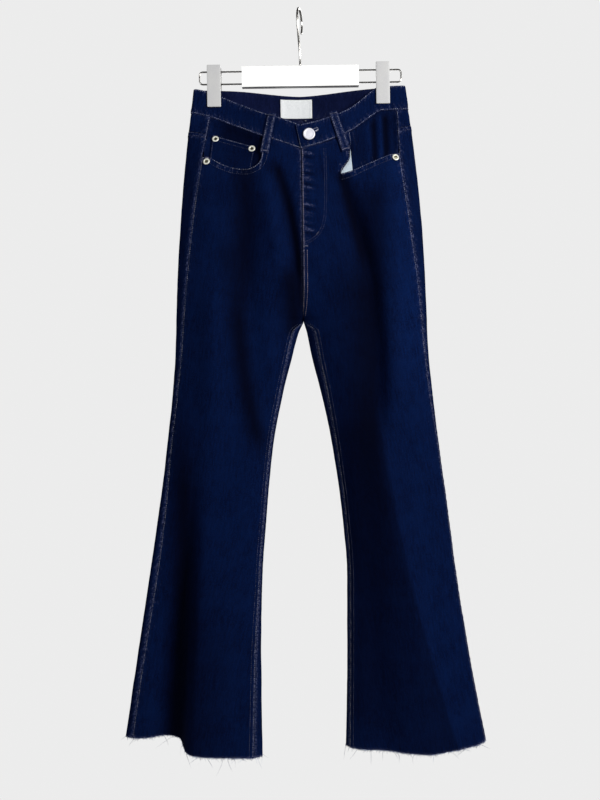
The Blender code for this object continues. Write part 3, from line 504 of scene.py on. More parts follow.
    def turn(self, lap, height):
        row = np.clip((height - self.levels[0]) / self.STEP, 0, len(self.levels) - 1.001)
        column = np.clip(lap * self.SAMPLES, 0, 2 * self.SAMPLES - 0.001)
        r = row.astype(int)
        c = column.astype(int)
        low = blend(self.turns[r, c], self.turns[r, c + 1], column - c)
        high = blend(self.turns[r + 1, c], self.turns[r + 1, c + 1], column - c)
        return blend(low, high, row - r)

    def spot(self, lap, height):
        height = np.asarray(height, float) + np.zeros(np.shape(lap))
        lap = np.asarray(lap, float) + np.zeros(np.shape(height))
        x, y = self.point(self.turn(lap, height), height)
        return np.stack([x, y, height], axis=-1)

    def frame(self, lap, height):
        """Points and outward normals at laps and heights."""
        lap = np.asarray(lap, float)
        height = np.asarray(height, float)
        lap_step = 0.006
        height_step = 2.0
        ahead = self.spot(np.minimum(lap + lap_step, 2), height)
        across = ahead - self.spot(np.maximum(lap - lap_step, 0), height)
        upward = self.spot(lap, height + height_step) - self.spot(lap, height - height_step)
        return self.spot(lap, height), unit(np.cross(across, upward) * self.side)

    def run(self, height, face):
        """Length of the cloth across the front or the back at a height."""
        return np.interp(height, self.levels, self.front_lengths if face == "front" else self.back_lengths)

    def lap_of(self, millimetres, height, face="front"):
        """The lap at a distance along the cloth from the centre front or the centre back."""
        share = millimetres / self.run(height, face)
        return share if face == "front" else 2 - share


HALVES = {side: Half(side) for side in (-1, 1)}


def surface(side, lap, height, lift):
    """Points moved out by lift, and their normals. A lap under 0 or over 2 crosses on to the other half."""
    lap, height, lift = np.broadcast_arrays(np.asarray(lap, float), np.asarray(height, float), lift)
    points, normals = HALVES[side].frame(np.clip(lap, 0, 2), height)
    outside = (lap < 0) | (lap > 2)
    if outside.any():
        crossed = np.where(lap < 0, -lap, np.where(lap > 2, 4 - lap, lap))
        other, other_normals = HALVES[-side].frame(np.clip(crossed, 0, 2), height)
        points = np.where(outside[..., None], other, points)
        normals = np.where(outside[..., None], other_normals, normals)
    return points + normals * lift[..., None], normals


def seam_height(side, lap):
    return curve(WAIST_SEAM[side], lap)


def mouth_hang(side, lap, height):
    """The lap at which cloth lies: beside the steep end of the left mouth it hangs outwards."""
    if side < 0:
        return lap
    near_mouth = ramp(0.08, 0.33, lap) * (1 - ramp(0.42, 0.56, lap))
    hang = MOUTH_HANG * ramp(-267, -234, height) + MOUTH_HANG_TOP * ramp(-226, -212, height)
    return lap + near_mouth * hang


def mouth_height(side, lap):
    return curve(POCKET_MOUTH[side], np.maximum(lap, POCKET_MOUTH[side][0][0]))


def yoke_height(side, lap):
    return curve(YOKE_SEAM[side], lap)


def mouth_distance(side, lap, height):
    """How far a place on the front lies from the edge of the pocket's mouth."""
    half = HALVES[side]
    steep = np.linspace(POCKET_MOUTH[side][0][0], STEEP_END[side], 40)
    laps = np.concatenate((steep, np.linspace(STEEP_END[side], 1, 50)))
    edge_height = mouth_height(side, laps)
    edge_across = mouth_hang(side, laps, edge_height) * half.run(edge_height, "front")
    across = lap * half.run(height, "front")
    nearest = np.full(np.shape(across), 1e6)
    for x, z in zip(edge_across, edge_height):
        nearest = np.minimum(nearest, np.hypot(across - x, height - z))
    return nearest


def seam_distances(side, lap, height):
    """Whether a place is on the front, its distances from both seams, and along the front and the back."""
    on_front = lap <= 1
    front_run = HALVES[side].run(height, "front")
    back_run = HALVES[side].run(height, "back")
    from_out = np.where(on_front, (1 - lap) * front_run, (lap - 1) * back_run)
    from_in = np.where(on_front, lap * front_run, (2 - lap) * back_run)
    across = np.where(on_front, lap * front_run, front_run + (lap - 1) * back_run)
    return on_front, from_out, from_in, across


def on_half(lap, height):
    return np.broadcast_arrays(np.clip(np.asarray(lap, float), 0, 2), np.asarray(height, float))


def relief(side, lap, height, inner_layer=False):
    """The fine form of the panels: allowances, puckers, hems of the pockets, the fly and uneven cloth."""
    lap, height = on_half(lap, height)
    on_front, from_out, from_in, across = seam_distances(side, lap, height)
    signed_out = np.where(on_front, -from_out, from_out)
    total = 0.30 * uneven(across, height, 34, 11 + side) + 0.12 * uneven(across, height, 11, 21 + side)

    total = total + 0.75 * band(signed_out, 0.0, 9.0) + 0.25 * band(signed_out, -6.5, 0.0)
    total = total - 0.55 * hill(signed_out, 0.9)
    pull = ripple(height + 0.7 * signed_out, 11.0, 3 + side)
    total = total + 0.42 * pull * hill(signed_out, 8.0)

    below = 1 - ramp(CROTCH - 14, CROTCH + 4, height)
    inner_pull = ripple(height - 0.6 * from_in, 9.0, 5 + side)
    total = total + below * on_front * 0.65 * band(from_in, 0.0, 8.4) - below * 0.5 * hill(from_in, 0.8)
    total = total + below * 0.38 * inner_pull * hill(from_in, 8.5)

    above = 1 - below
    sewn_under = 1.0 if side > 0 else 0.25
    below_fly = 1 - ramp(RISE_END_LOW, RISE_END_TOP, height)
    allowance = 0.7 * sewn_under * band(from_in, 0.0, 7.5)
    drag = inner_pull * hill(from_in, 10)
    total = total + above * on_front * below_fly * (allowance + 0.45 * drag)
    total = total + above * ~on_front * (allowance + 0.4 * drag)
    total = total - above * 0.4 * hill(from_in, 0.8) * np.where(on_front, below_fly, 1)

    from_waist = seam_height(side, lap) - height
    total = total + 0.4 * ripple(across + 0.4 * from_waist, 12.0, 17 + side) * hill(from_waist, 13)
    if inner_layer:
        return total

    if side > 0:
        edge = curve(FLY_SEWING, height)
        beside = on_front * ramp(FLY_END_LOW, FLY_END_TOP, height)
        placket = beside * (1 - ramp(-1.5, 1.5, from_in - edge))
        puff = 1.1 * ripple(height + 0.15 * from_in, 12.5, 9) * hill(from_in - 9, 8.5)
        side_puff = 0.35 * ripple(height - 0.3 * from_in, 9.5, 14) * hill(from_in - edge, 7)
        total = total + placket * (0.55 + puff) + beside * side_puff
    else:
        under = on_front * ramp(FLY_END_LOW, FLY_END_TOP, height)
        total = total + under * 0.35 * ripple(height + 0.3 * from_in, 13.0, 31) * hill(from_in, 12)

    if on_front.any():
        from_mouth = mouth_distance(side, np.minimum(lap, 1), height)
        hem = on_front * band(from_mouth, -2.0, 9.4)
        ladder = 0.40 * ripple(across + 0.2 * height, 6.5, 23 + side) * hill(from_mouth - 5, 4.5)
        drawn = 0.35 * ripple(across, 14.0, 41 + side) * hill(from_mouth, 12)
        total = total + hem * 0.55 + on_front * (ladder + drawn)

    if (~on_front).any():
        from_yoke = height - yoke_height(side, np.maximum(lap, 1))
        total = total + ~on_front * 0.65 * band(-from_yoke, 0.0, 8.0)
        total = total + ~on_front * 0.35 * ripple(across, 10.0, 51 + side) * hill(from_yoke, 9)
        total = total - ~on_front * 0.4 * hill(from_yoke, 0.8)
    return total


def under_relief(side, lap, height):
    """The form of cloth that lies behind a front panel."""
    return 0.8 * relief(side, lap, height, inner_layer=True)


def wear_of(side, lap, height):
    """Where the dye is a little rubbed off: on seams, the fly, pocket mouths and the raw hem."""
    lap, height = on_half(lap, height)
    on_front, from_out, from_in, across = seam_distances(side, lap, height)
    rubbed = 0.24 + 0.34 * np.clip(ripple(height + 0.8 * from_out, 11.0, 3 + side), -0.5, 1)
    total = 0.55 * hill(from_out, 2.0) + rubbed * hill(from_out, 9.0)
    total = total + 0.8 * hill(from_in, 2.0) + 0.35 * hill(from_in, 7.0)
    if side > 0:
        puff = np.clip(ripple(height + 0.15 * from_in, 12.5, 9), 0, 1) * hill(from_in - 9, 9)
        total = total + 1.1 * on_front * ramp(FLY_END_LOW, FLY_END_TOP, height) * puff
    from_waist = seam_height(side, lap) - height
    total = total + 0.25 * hill(from_waist, 6)
    hem_height = HEM - curve(HEM_DROP[side], lap)
    total = total + 1.0 * hill(height - hem_height, 2.2)
    if on_front.any():
        from_mouth = mouth_distance(side, np.minimum(lap, 1), height)
        ladder = np.clip(ripple(across + 0.2 * height, 6.5, 23 + side), 0, 1) * hill(from_mouth - 5, 3.8)
        total = total + on_front * (0.7 * hill(from_mouth, 1.4) + 1.4 * ladder)
    if (~on_front).any():
        from_yoke = height - yoke_height(side, np.maximum(lap, 1))
        mottled = 0.4 + 0.5 * np.clip(ripple(from_out + height, 7.0, 61), -0.5, 1)
        total = total + ~on_front * mottled * hill(from_yoke + 5, 6)
    return np.clip(total, 0, 1)


def painted_shade_of(side, lap, height):
    """Painted shade: darker in the hollows of the folds, and on the left front in the troughs of the fly's
    puckers, with one painted lighter band.
    """
    lap, height = np.broadcast_arrays(np.asarray(lap, float), np.asarray(height, float))
    points, _ = surface(side, lap, height, 0.0)
    across = np.abs(points[..., 0])
    half = HALVES[side]
    # On the back the painted shade deepens with the hollows of the folds.
    if lap.mean() > 1:
        return blend(PLAIN_PAINTED_SHADE, 0.85, np.clip(-half.fold("back", across, height) / PAINTED_SHADE_DEPTH, 0, 1))
    light = 1 - PLAIN_PAINTED_SHADE
    # Painted shade in the troughs of the fly's puckers.
    if side > 0:
        from_in = lap * half.run(height, "front")
        sunk = np.clip(-ripple(height + 0.15 * from_in, 12.5, 9), 0, 1) * hill(from_in - 9, 9)
        light = light * (1 - 0.75 * sunk * ramp(FLY_END_LOW, FLY_END_TOP, height))
    for row in half.painted_shading:
        share, strength = half.fold_share(row, across, height)
        light = light * (1 - row["rise"] * strength * share)
    return np.clip(1 - light, 0, 1)


def placed(name, data):
    item = bpy.data.objects.new(name, data)
    bpy.context.scene.collection.objects.link(item)
    return item


def add_mesh(name, vertices, faces, finishes, slots=None, cloth_map=None, wear=None, painted_shade=None):
    """A piece from points in millimetres, with its cloth directions, worn places and painted shade, if any.
    """
    mesh = bpy.data.meshes.new(name)
    mesh.from_pydata(np.asarray(vertices) * MM, [], np.asarray(faces).tolist())
    for finish in finishes:
        mesh.materials.append(finish)
    if slots is not None:
        mesh.polygons.foreach_set("material_index", np.asarray(slots, np.int32))
    if cloth_map is not None:
        layer = mesh.uv_layers.new(name="cloth")
        corners = np.zeros(len(mesh.loops), np.int32)
        mesh.loops.foreach_get("vertex_index", corners)
        layer.data.foreach_set("uv", (np.asarray(cloth_map)[corners] * MM).astype(np.float32).ravel())
    for kind, sizes in (("wear", wear), ("painted_shade", painted_shade)):
        if sizes is not None:
            layer = mesh.attributes.new(kind, "FLOAT", "POINT")
            layer.data.foreach_set("value", np.asarray(sizes, np.float32).ravel())
    mesh.shade_smooth()
    mesh.validate()
    return placed(name, mesh)


def grid_faces(rows, columns, start=0, turned=False):
    index = np.arange(rows * columns).reshape(rows, columns) + start
    quads = np.stack([index[:-1, :-1], index[:-1, 1:], index[1:, 1:], index[1:, :-1]], axis=-1).reshape(-1, 4)
    return quads[:, ::-1] if turned else quads


def edge_distance(points):
    """Distance of each grid point from the nearest edge of its patch, along the grid."""
    nearest = []
    for axis in (0, 1):
        steps = np.cumsum(np.linalg.norm(np.diff(points, axis=axis), axis=-1), axis=axis)
        run = np.concatenate((np.zeros_like(steps.take([0], axis)), steps), axis=axis)
        nearest.append(np.minimum(run, run.take([-1], axis) - run))
    return np.minimum(*nearest)


def shell(name, side, lap, height, lift, wall, finishes, wear=None, painted_shade=PLAIN_PAINTED_SHADE, roundness=0.9):
    """A thin shell of cloth with rounded edges. finishes are for its outer side and its inner side."""
    lap, height = np.broadcast_arrays(np.asarray(lap, float), np.asarray(height, float))
    lift = np.asarray(lift, float) + np.zeros(lap.shape)
    flat, _ = surface(side, lap, height, lift)
    near_edge = np.clip(1 - edge_distance(flat) / roundness, 0, 1)
    thin = (wall / 2 - 0.03) * (1 - np.sqrt(1 - near_edge ** 2))
    outer, _ = surface(side, lap, height, lift - thin)
    inner, _ = surface(side, lap, height, lift - wall + thin)
    half = HALVES[side]
    across = (lap - 1) * half.run(height, "front")
    across = np.where(lap > 1, (lap - 1) * half.run(height, "back"), across)
    cloth_map = np.stack([across, height], axis=-1).reshape(-1, 2)
    return wall_piece(name, outer, inner, finishes, cloth_map, wear, painted_shade)


def wall_piece(name, outer, inner, finishes, cloth_map, wear=None, painted_shade=PLAIN_PAINTED_SHADE):
    rows, columns = outer.shape[:2]
    count = rows * columns
    index = np.arange(count).reshape(rows, columns)
    rim = np.concatenate((index[0], index[1:, -1], index[-1, -2::-1], index[-2:0:-1, 0]))
    after = np.roll(rim, -1)
    rim_faces = np.stack([rim, rim + count, after + count, after], axis=-1)
    back = grid_faces(rows, columns, count, turned=True)
    faces = np.concatenate((grid_faces(rows, columns), back, rim_faces))
    quads = (rows - 1) * (columns - 1)
    slots = np.concatenate((np.zeros(quads), np.ones(quads), np.zeros(len(rim_faces))))
    vertices = np.concatenate((outer.reshape(-1, 3), inner.reshape(-1, 3)))
    worn = np.zeros(count) if wear is None else np.asarray(wear).reshape(-1)
    # Painted shade at each point.
    deep = (np.asarray(painted_shade, float) + np.zeros((rows, columns))).reshape(-1)
    item = add_mesh(name, vertices, faces, finishes, slots, np.concatenate((cloth_map, cloth_map)),
                    np.concatenate((worn, worn)), np.concatenate((deep, deep)))
    check = bmesh.new()
    check.from_mesh(item.data)
    if check.calc_volume(signed=True) < 0:
        bmesh.ops.reverse_faces(check, faces=check.faces)
        check.to_mesh(item.data)
    check.free()
    return item


def spaced(length, step, edges=(0.0, 0.3, 0.75, 1.4)):
    """Shares from 0 to 1 along a length, closer together at both ends."""
    edges = np.array(edges)
    count = max(int(round((length - 2 * edges[-1]) / step)), 2)
    middle = np.linspace(edges[-1], length - edges[-1], count + 1)
    return np.concatenate((edges[:-1], middle, (length - edges[:-1])[::-1])) / length


def panel_heights(laps, tops, lows, top_level):
    """Heights of a panel's fine grid: they follow its upper edge, are level at the crotch, follow the hem."""
    upper = top_level + (CROTCH - top_level) * spaced(top_level - CROTCH, 2.7)[:-3]
    lower = CROTCH + (HEM - CROTCH) * spaced(CROTCH - HEM, 3.1)[3:]
    nominal = np.concatenate((upper, lower[1:] if abs(lower[0] - upper[-1]) < 0.5 else lower))[:, None]
    follow_top = np.clip((nominal - LEVEL_BELOW) / (top_level - LEVEL_BELOW), 0, 1)
    follow_hem = np.clip((HEM + FOLLOW_HEM - nominal) / FOLLOW_HEM, 0, 1)
    height = nominal + (np.asarray(tops) - top_level) * follow_top + (np.asarray(lows) - HEM) * follow_hem
    return np.broadcast_to(laps[None, :], height.shape), height


def lap_span(start, end, length, step=2.3):
    return start + (end - start) * spaced(length, step)


def between(laps, tops, lows, length, step):
    """Laps and heights of a grid between an upper and a lower edge."""
    share = spaced(length, step)[:, None]
    height = blend(np.asarray(tops, float)[None, :], np.asarray(lows, float)[None, :], share)
    return np.broadcast_to(laps[None, :], height.shape), height


class Value:
    """A number or colour that varies over a material, written in ordinary sums."""

    def __init__(self, finish, output):
        self.finish = finish
        self.output = output

    def sum(self, operation, first, second):
        return self.finish.node("Math", {"operation": operation}, {0: first, 1: second})

    def __add__(self, other):
        return self.sum("ADD", self, other)

    def __radd__(self, other):
        return self.sum("ADD", other, self)

    def __sub__(self, other):
        return self.sum("SUBTRACT", self, other)

    def __rsub__(self, other):
        return self.sum("SUBTRACT", other, self)

    def __mul__(self, other):
        return self.sum("MULTIPLY", self, other)

    def __rmul__(self, other):
        return self.sum("MULTIPLY", other, self)


class Finish:
    """One material. Constants are set on the shader's own sockets, and what varies is linked to them."""

    def __init__(self, name, **constants):
        self.material = bpy.data.materials.new(name)
        self.material.use_nodes = True
        self.tree = self.material.node_tree
        self.shader = self.tree.nodes["Principled BSDF"]
        self.set(**constants)

    def set(self, **values):
        for key, value in values.items():
            socket = self.shader.inputs[key.replace("_", " ")]
            if isinstance(value, Value):
                self.tree.links.new(value.output, socket)
            else:
                socket.default_value = value

    def node(self, kind, settings=None, values=None, out=0):
        """Add a node: its settings, then the numbers or links of its sockets. Gives one of its outputs."""
        made = self.tree.nodes.new("ShaderNode" + kind)
        for key, setting in (settings or {}).items():
            setattr(made, key, setting)
        for key, value in (values or {}).items():
            if isinstance(value, Value):
                self.tree.links.new(value.output, made.inputs[key])
            else:
                made.inputs[key].default_value = value
        return Value(self, made.outputs[out])

    def spread(self, value, low, high, to_low=0.0, to_high=1.0):
        """A value mapped from one span to another, and kept in it."""
        spans = {"Value": value, "From Min": low, "From Max": high, "To Min": to_low, "To Max": to_high}
        return self.node("MapRange", {"interpolation_type": "SMOOTHSTEP"}, spans)

    def mix(self, share, first, second):
        return self.node("Mix", {"data_type": "RGBA"}, {0: share, 6: first, 7: second}, 2)

    def wave(self, value):
        return self.node("Math", {"operation": "SINE"}, {0: value})

    def coordinate(self, place, axis):
        return self.node("SeparateXYZ", None, {0: place}, axis)

    def drawn(self, name):
        """A size that is kept on the mesh, such as how worn it is."""
        return self.node("Attribute", {"attribute_name": name}, None, "Fac")

    def noise(self, place, scale, detail=3.0, roughness=0.55):
        values = {"Vector": place, "Scale": scale, "Detail": detail, "Roughness": roughness}
        return self.node("TexNoise", None, values, "Fac")

    def stretched(self, place, scale):
        return self.node("VectorMath", {"operation": "MULTIPLY"}, {0: place, 1: scale})

    def object_place(self):
        return self.node("TexCoord", None, None, "Object")

    def cloth_place(self):
        return self.node("UVMap", {"uv_map": "cloth"}, None, "UV")

    def bump(self, height, strength, distance):
        values = {"Height": height, "Strength": strength, "Distance": distance}
        self.set(Normal=self.node("Bump", None, values))


def rgb(red, green, blue):
    return (red, green, blue, 1.0)


# Spacing of the twill's ribs and of its yarns, in metres, and the near-black colour that painted shade
# darkens the cloth towards
TWILL_PITCH = 0.0019
YARN_PITCH = 0.00075
PAINTED_SHADE_COLOUR = rgb(0.0001, 0.0003, 0.0030)


def denim_finish(name, deep, lit, pale, rubbed, weft):
    """Twill whose indigo warp runs down the leg, with slubs, flecks of pale weft, rubbed seams and painted
    shade.
    """
    made = Finish(name, Roughness=0.85, Specular_IOR_Level=0.02)
    place = made.cloth_place()
    across = made.coordinate(place, "X")
    along = made.coordinate(place, "Y")
    ribs = made.wave((across * 2.0 + along * 1.15) * (2 * math.pi / TWILL_PITCH))
    yarns = made.wave(across * (2 * math.pi / YARN_PITCH))
    slub = made.noise(made.stretched(place, (1000.0, 80.0, 1.0)), 1.0, 2.0)
    grain = made.noise(place, 560.0, 2.0, 0.65)
    cloud = made.noise(place, 26.0, 4.0, 0.6)
    streak = made.noise(made.stretched(place, (330.0, 26.0, 1.0)), 1.0, 3.0)
    light = made.spread(slub * 0.32 + grain * 0.46 + streak * 0.22 + ribs * 0.04, 0.40, 0.62)
    tone = made.mix(light, deep, lit)
    tone = made.mix(made.spread(cloud, 0.35, 0.7, 0.0, 0.45), tone, lit)
    fleck = made.spread(made.noise(place, 1500.0, 1.0, 0.5) + ribs * 0.03, 0.66, 0.76)
    tone = made.mix(fleck * weft, tone, pale)
    wear = made.drawn("wear")
    patchy = made.spread(made.noise(place, 400.0, 3.0, 0.6), 0.42, 0.62)
    flecked = made.spread(made.noise(made.stretched(place, (260.0, 110.0, 1.0)), 1.0, 3.0), 0.55, 0.72) * 0.22
    tone = made.mix(made.spread((wear + flecked) * (0.25 + patchy), 0.1, 1.2) * rubbed, tone, pale)
    # Painted shade: darker towards near-black where the mesh's painted shade says.
    tone = made.mix(made.drawn("painted_shade") * 0.95, tone, PAINTED_SHADE_COLOUR)
    made.set(Base_Color=tone)
    made.bump(ribs * 0.25 + yarns * 0.12 + slub * 0.6 + grain * 0.5, 0.35, 0.0004)
    return made.material


def thread_finish(name, first, second, roughness=0.75):
    """Sewing thread with a twist, and a tone that changes from stitch to stitch."""
    made = Finish(name, Roughness=roughness, Specular_IOR_Level=0.3)
    place = made.object_place()
    tone = made.noise(place, 210.0, 2.0)
    made.set(Base_Color=made.mix(made.spread(tone, 0.42, 0.60), first, second))
    made.bump(made.noise(place, 3500.0, 1.0), 0.4, 0.0002)
    return made.material


def metal_finish(name, colour, roughness, tarnish, metallic=1.0):
    """Metal with fine wear and slightly uneven gloss."""
    made = Finish(name, Metallic=metallic)
    place = made.object_place()
    cloud = made.noise(place, 160.0, 3.0)
    scratch = made.noise(made.stretched(place, (900.0, 108.0, 900.0)), 1.0, 2.0)
    made.set(Base_Color=made.mix(made.spread(cloud, 0.3, 0.75, 0.0, 0.8), colour, tarnish))
    made.set(Roughness=made.spread(cloud * 0.5 + scratch * 0.5, 0.3, 0.7, roughness * 0.8, roughness * 1.3))
    made.bump(scratch, 0.12, 0.0002)
    return made.material


def plain_finish(name, colour, shade, roughness):
    """A moulded or painted finish with a faint texture."""
    made = Finish(name)
    place = made.object_place()
    cloud = made.noise(place, 60.0, 4.0)
    made.set(Base_Color=made.mix(made.spread(cloud, 0.3, 0.7, 0.0, 0.7), colour, shade))
    made.set(Roughness=made.spread(cloud, 0.3, 0.7, roughness, roughness * 1.25))
    made.bump(made.noise(place, 1400.0, 2.0), 0.12, 0.0002)
    return made.material


def woven_finish(name, colour, shade, pitch, roughness=0.8):
    """A plain weave of light threads."""
    made = Finish(name, Roughness=roughness, Specular_IOR_Level=0.3)
    place = made.cloth_place()
    across = made.coordinate(place, "X")
    along = made.coordinate(place, "Y")
    warp = made.wave(across * (2 * math.pi / pitch))
    filling = made.wave(along * (2 * math.pi / pitch))
    weave = made.spread(warp * filling, -0.8, 0.8)
    soft = made.noise(place, 300.0, 3.0)
    made.set(Base_Color=made.mix(made.spread(weave * 0.6 + soft * 0.4, 0.2, 0.8), shade, colour))
    made.bump(weave + soft * 0.4, 0.4, 0.0003)
    return made.material


DENIM = denim_finish("denim", rgb(0.0002, 0.0016, 0.0135), rgb(0.0011, 0.0075, 0.0445),
                     rgb(0.066, 0.076, 0.155), 0.75, 0.16)
DENIM_BAND_INSIDE = denim_finish("denim_band_inside", rgb(0.0010, 0.0022, 0.013), rgb(0.0042, 0.0074, 0.036),
                                 rgb(0.03, 0.035, 0.08), 0.6, 0.2)
# Painted shade: the inner side is far darker than the pale back of real denim.
DENIM_INSIDE_SHADED = denim_finish("denim_inside_shaded", rgb(0.003, 0.005, 0.014), rgb(0.014, 0.019, 0.036),
                            rgb(0.07, 0.08, 0.11), 0.3, 0.6)
THREAD = thread_finish("topstitch", rgb(0.055, 0.065, 0.115), rgb(0.42, 0.43, 0.52))
THREAD_LEG = thread_finish("topstitch_leg", rgb(0.025, 0.034, 0.070), rgb(0.26, 0.26, 0.31))
THREAD_DARK = thread_finish("topstitch_soft", rgb(0.010, 0.014, 0.040), rgb(0.09, 0.09, 0.14))
THREAD_FLY = thread_finish("topstitch_fly", rgb(0.13, 0.10, 0.12), rgb(0.42, 0.35, 0.38))
FRAY = thread_finish("fray", rgb(0.20, 0.25, 0.38), rgb(0.46, 0.52, 0.66), 0.9)
FRAY_DARK = thread_finish("fray_indigo", rgb(0.006, 0.014, 0.07), rgb(0.03, 0.05, 0.15), 0.9)
LINING = woven_finish("pocket_lining", rgb(0.46, 0.52, 0.57), rgb(0.24, 0.30, 0.37), 0.0011)
LABEL = woven_finish("woven_label", rgb(0.60, 0.61, 0.62), rgb(0.46, 0.48, 0.50), 0.0007, 0.6)
BUTTON = metal_finish("button_metal", rgb(0.62, 0.62, 0.68), 0.44, rgb(0.50, 0.50, 0.56), metallic=0.25)
RIVET = metal_finish("rivet_metal", rgb(0.62, 0.62, 0.56), 0.40, rgb(0.48, 0.47, 0.40), metallic=0.35)
# Painted shade: the metal in a rivet's well is dark.
RIVET_WELL_SHADED = metal_finish("rivet_well_shaded", rgb(0.16, 0.15, 0.10), 0.35, rgb(0.06, 0.06, 0.04))
STEEL = metal_finish("hanger_steel", rgb(0.50, 0.49, 0.47), 0.20, rgb(0.34, 0.33, 0.31))
SPRING = metal_finish("spring_steel", rgb(0.55, 0.55, 0.55), 0.30, rgb(0.40, 0.40, 0.40))
WHITE = plain_finish("hanger_white", rgb(0.88, 0.88, 0.87), rgb(0.84, 0.84, 0.83), 0.42)
CLIP = plain_finish("clip_grey", rgb(0.42, 0.42, 0.42), rgb(0.38, 0.38, 0.39), 0.38)


def keep(item, slot, *nodes):
    """A piece of this scene: what it rides on and the solids that it stands for, which it hides. Its slot is
    not used.
    """
    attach(item, "root")
    if nodes:
        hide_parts(*nodes)


def cut(item, slot="denim", node=None):
    """A piece of cloth that stands for one of the solids."""
    keep(item, slot, node)


def panel_lift(side, lap, height):
    """The left front stands a little higher at the centre, where it laps over."""
    return (side > 0) * OVERLAP_RISE * (1 - ramp(0, 0.2, lap)) * ramp(CROTCH + 60, CROTCH + 130, height)


def closed_above_crotch(lap, height):
    """The halves meet above the crotch."""
    near = (np.abs(lap - np.round(lap)) < 2 * SEAM) & (np.round(lap) != 1) & (height > CROTCH)
    return np.where(near, np.round(lap), lap)


def front_panel(side):
    steep_start = POCKET_MOUTH[side][0][0]
    steep_end = STEEP_END[side]
    inner = SEWN + (steep_start - SEWN) * spaced(68, 2.3)
    steep = np.linspace(steep_start, steep_end, 22)
    outer = steep_end + (1 - SEWN - steep_end) * spaced(100, 2.4)
    laps = np.concatenate((inner[:-3], steep, outer[4:]))
    seam_tops = seam_height(side, mouth_hang(side, laps, -200.0)) - LAYER_GAP
    tops = np.where(laps < steep_start, seam_tops, mouth_height(side, laps))
    lows = HEM - curve(HEM_DROP[side], laps)
    lap, height = panel_heights(laps, tops, lows, FRONT_TOP_LEVEL)
    lap = mouth_hang(side, closed_above_crotch(lap, height), height)
    lift = panel_lift(side, lap, height) + relief(side, lap, height)
    name = "front_panel_" + SIDE_NAMES[side]
    item = leg_shell(name, side, lap, height, lift)
    cut(item, node=name)


def leg_shell(name, side, lap, height, lift):
    return shell(name + "_cloth", side, lap, height, lift, WALL, [DENIM, DENIM_INSIDE_SHADED],
                 wear_of(side, lap, height), painted_shade_of(side, lap, height))


def back_panel(side):
    laps = lap_span(1 + SEWN, 2 - SEWN, 215, 2.6)
    tops = yoke_height(side, laps) - LAYER_GAP
    lows = HEM - curve(HEM_DROP[side], laps)
    lap, height = panel_heights(laps, tops, lows, BACK_TOP_LEVEL)
    lap = closed_above_crotch(lap, height)
    name = "back_panel_" + SIDE_NAMES[side]
    item = leg_shell(name, side, lap, height, relief(side, lap, height))
    cut(item, node=name)


def yoke(side):
    laps = lap_span(1 + SEWN, 2 - SEWN, 190, 2.4)
    lap, height = between(laps, seam_height(side, laps) - SEWN_GAP, yoke_height(side, laps), 45, 2.2)
    name = "yoke_" + SIDE_NAMES[side]
    lift = relief(side, lap, height)
    item = shell(name + "_cloth", side, lap, height, lift, WALL, [DENIM, DENIM_BAND_INSIDE],
                 wear_of(side, lap, height))
    cut(item, node=name)


def facing_lift(side, height):
    """The facing lies close behind the panel, and deeper on the right where the coin pocket comes between."""
    close = -(WALL + LAYING_GAP)
    deep = close - COIN_WALL - LAYING_GAP
    return blend(deep, close, ramp(-196, -172, height)) if side < 0 else close + 0 * height


def facing_rise(side, lap, height):
    """Where the facing is sewn to the waistband and the side seam it comes up to the panels."""
    beside = ramp(FACING_START[side] + 0.035, FACING_START[side] + 0.09, lap) if side < 0 else 1.0
    at_waist = beside * (1 - ramp(1.5, 13, seam_height(side, lap) - height))
    at_side = ramp(0.955, 0.992, lap) * ramp(3, 15, height - mouth_height(side, lap))
    return np.maximum(at_waist, at_side)


def facing_folds(side, lap, height):
    """Upright folds in the left facing, which hangs slack."""
    if side < 0:
        return 0.0
    across = lap * HALVES[side].run(height, "front")
    total = 0.0
    for middle, width, rise in ((103, 4.5, 0.8), (113, 4.5, -1.0), (121.5, 4.0, 1.5), (131, 5.0, -1.2)):
        total = total + rise * hill(across - middle - 0.05 * (height + 200), width)
    return total * ramp(2, 14, seam_height(side, lap) - height)


def facing_painted_shade(side, lap, height):
    """Painted shade on the facings: on the right darkest near the mouth's steep end and lighter near the side
    seam; on the left darker in its folds' troughs and lighter on their ridges.
    """
    if side < 0:
        return 0.80 * (1 - 0.5 * ramp(0.78, 0.95, lap))
    return np.clip(0.52 - 0.4 * facing_folds(side, lap, height), 0.1, 0.93)


def facing_form(side, lap, height):
    plain = facing_lift(side, height) + under_relief(side, lap, height) + facing_folds(side, lap, height)
    sewn = -0.2 + 0.5 * relief(side, lap, height, inner_layer=True)
    return blend(plain, sewn, facing_rise(side, lap, height))


def pocket_facing(side):
    laps = lap_span(FACING_START[side], 1 - SEAM, 110, 1.9)
    lows = mouth_height(side, laps) - FACING_BELOW_MOUTH
    lap, height = between(laps, seam_height(side, laps) - LAYER_GAP, lows, 80, 1.9)
    name = "pocket_facing_" + SIDE_NAMES[side]
    lift = facing_form(side, lap, height)
    item = shell(name + "_cloth", side, lap, height, lift, FACING_WALL, [DENIM, DENIM_INSIDE_SHADED],
                 0.5 * wear_of(side, lap, height), facing_painted_shade(side, lap, height))
    cut(item, node=name)


def pocket_lining():
    laps = lap_span(*LINING_LAPS, 40, 1.5)
    tops = np.minimum(LINING_HEIGHTS[0], seam_height(1, laps) - LAYER_GAP)
    lap, height = between(laps, tops, np.full(laps.shape, LINING_HEIGHTS[1]), 64, 1.8)
    lift = -(WALL + LINING_BEHIND) + under_relief(1, lap, height)
    item = shell("pocket_lining_left_cloth", 1, lap, height, lift, LINING_WALL, [LINING, LINING])
    cut(item, slot="pocket_lining", node="pocket_lining_left")


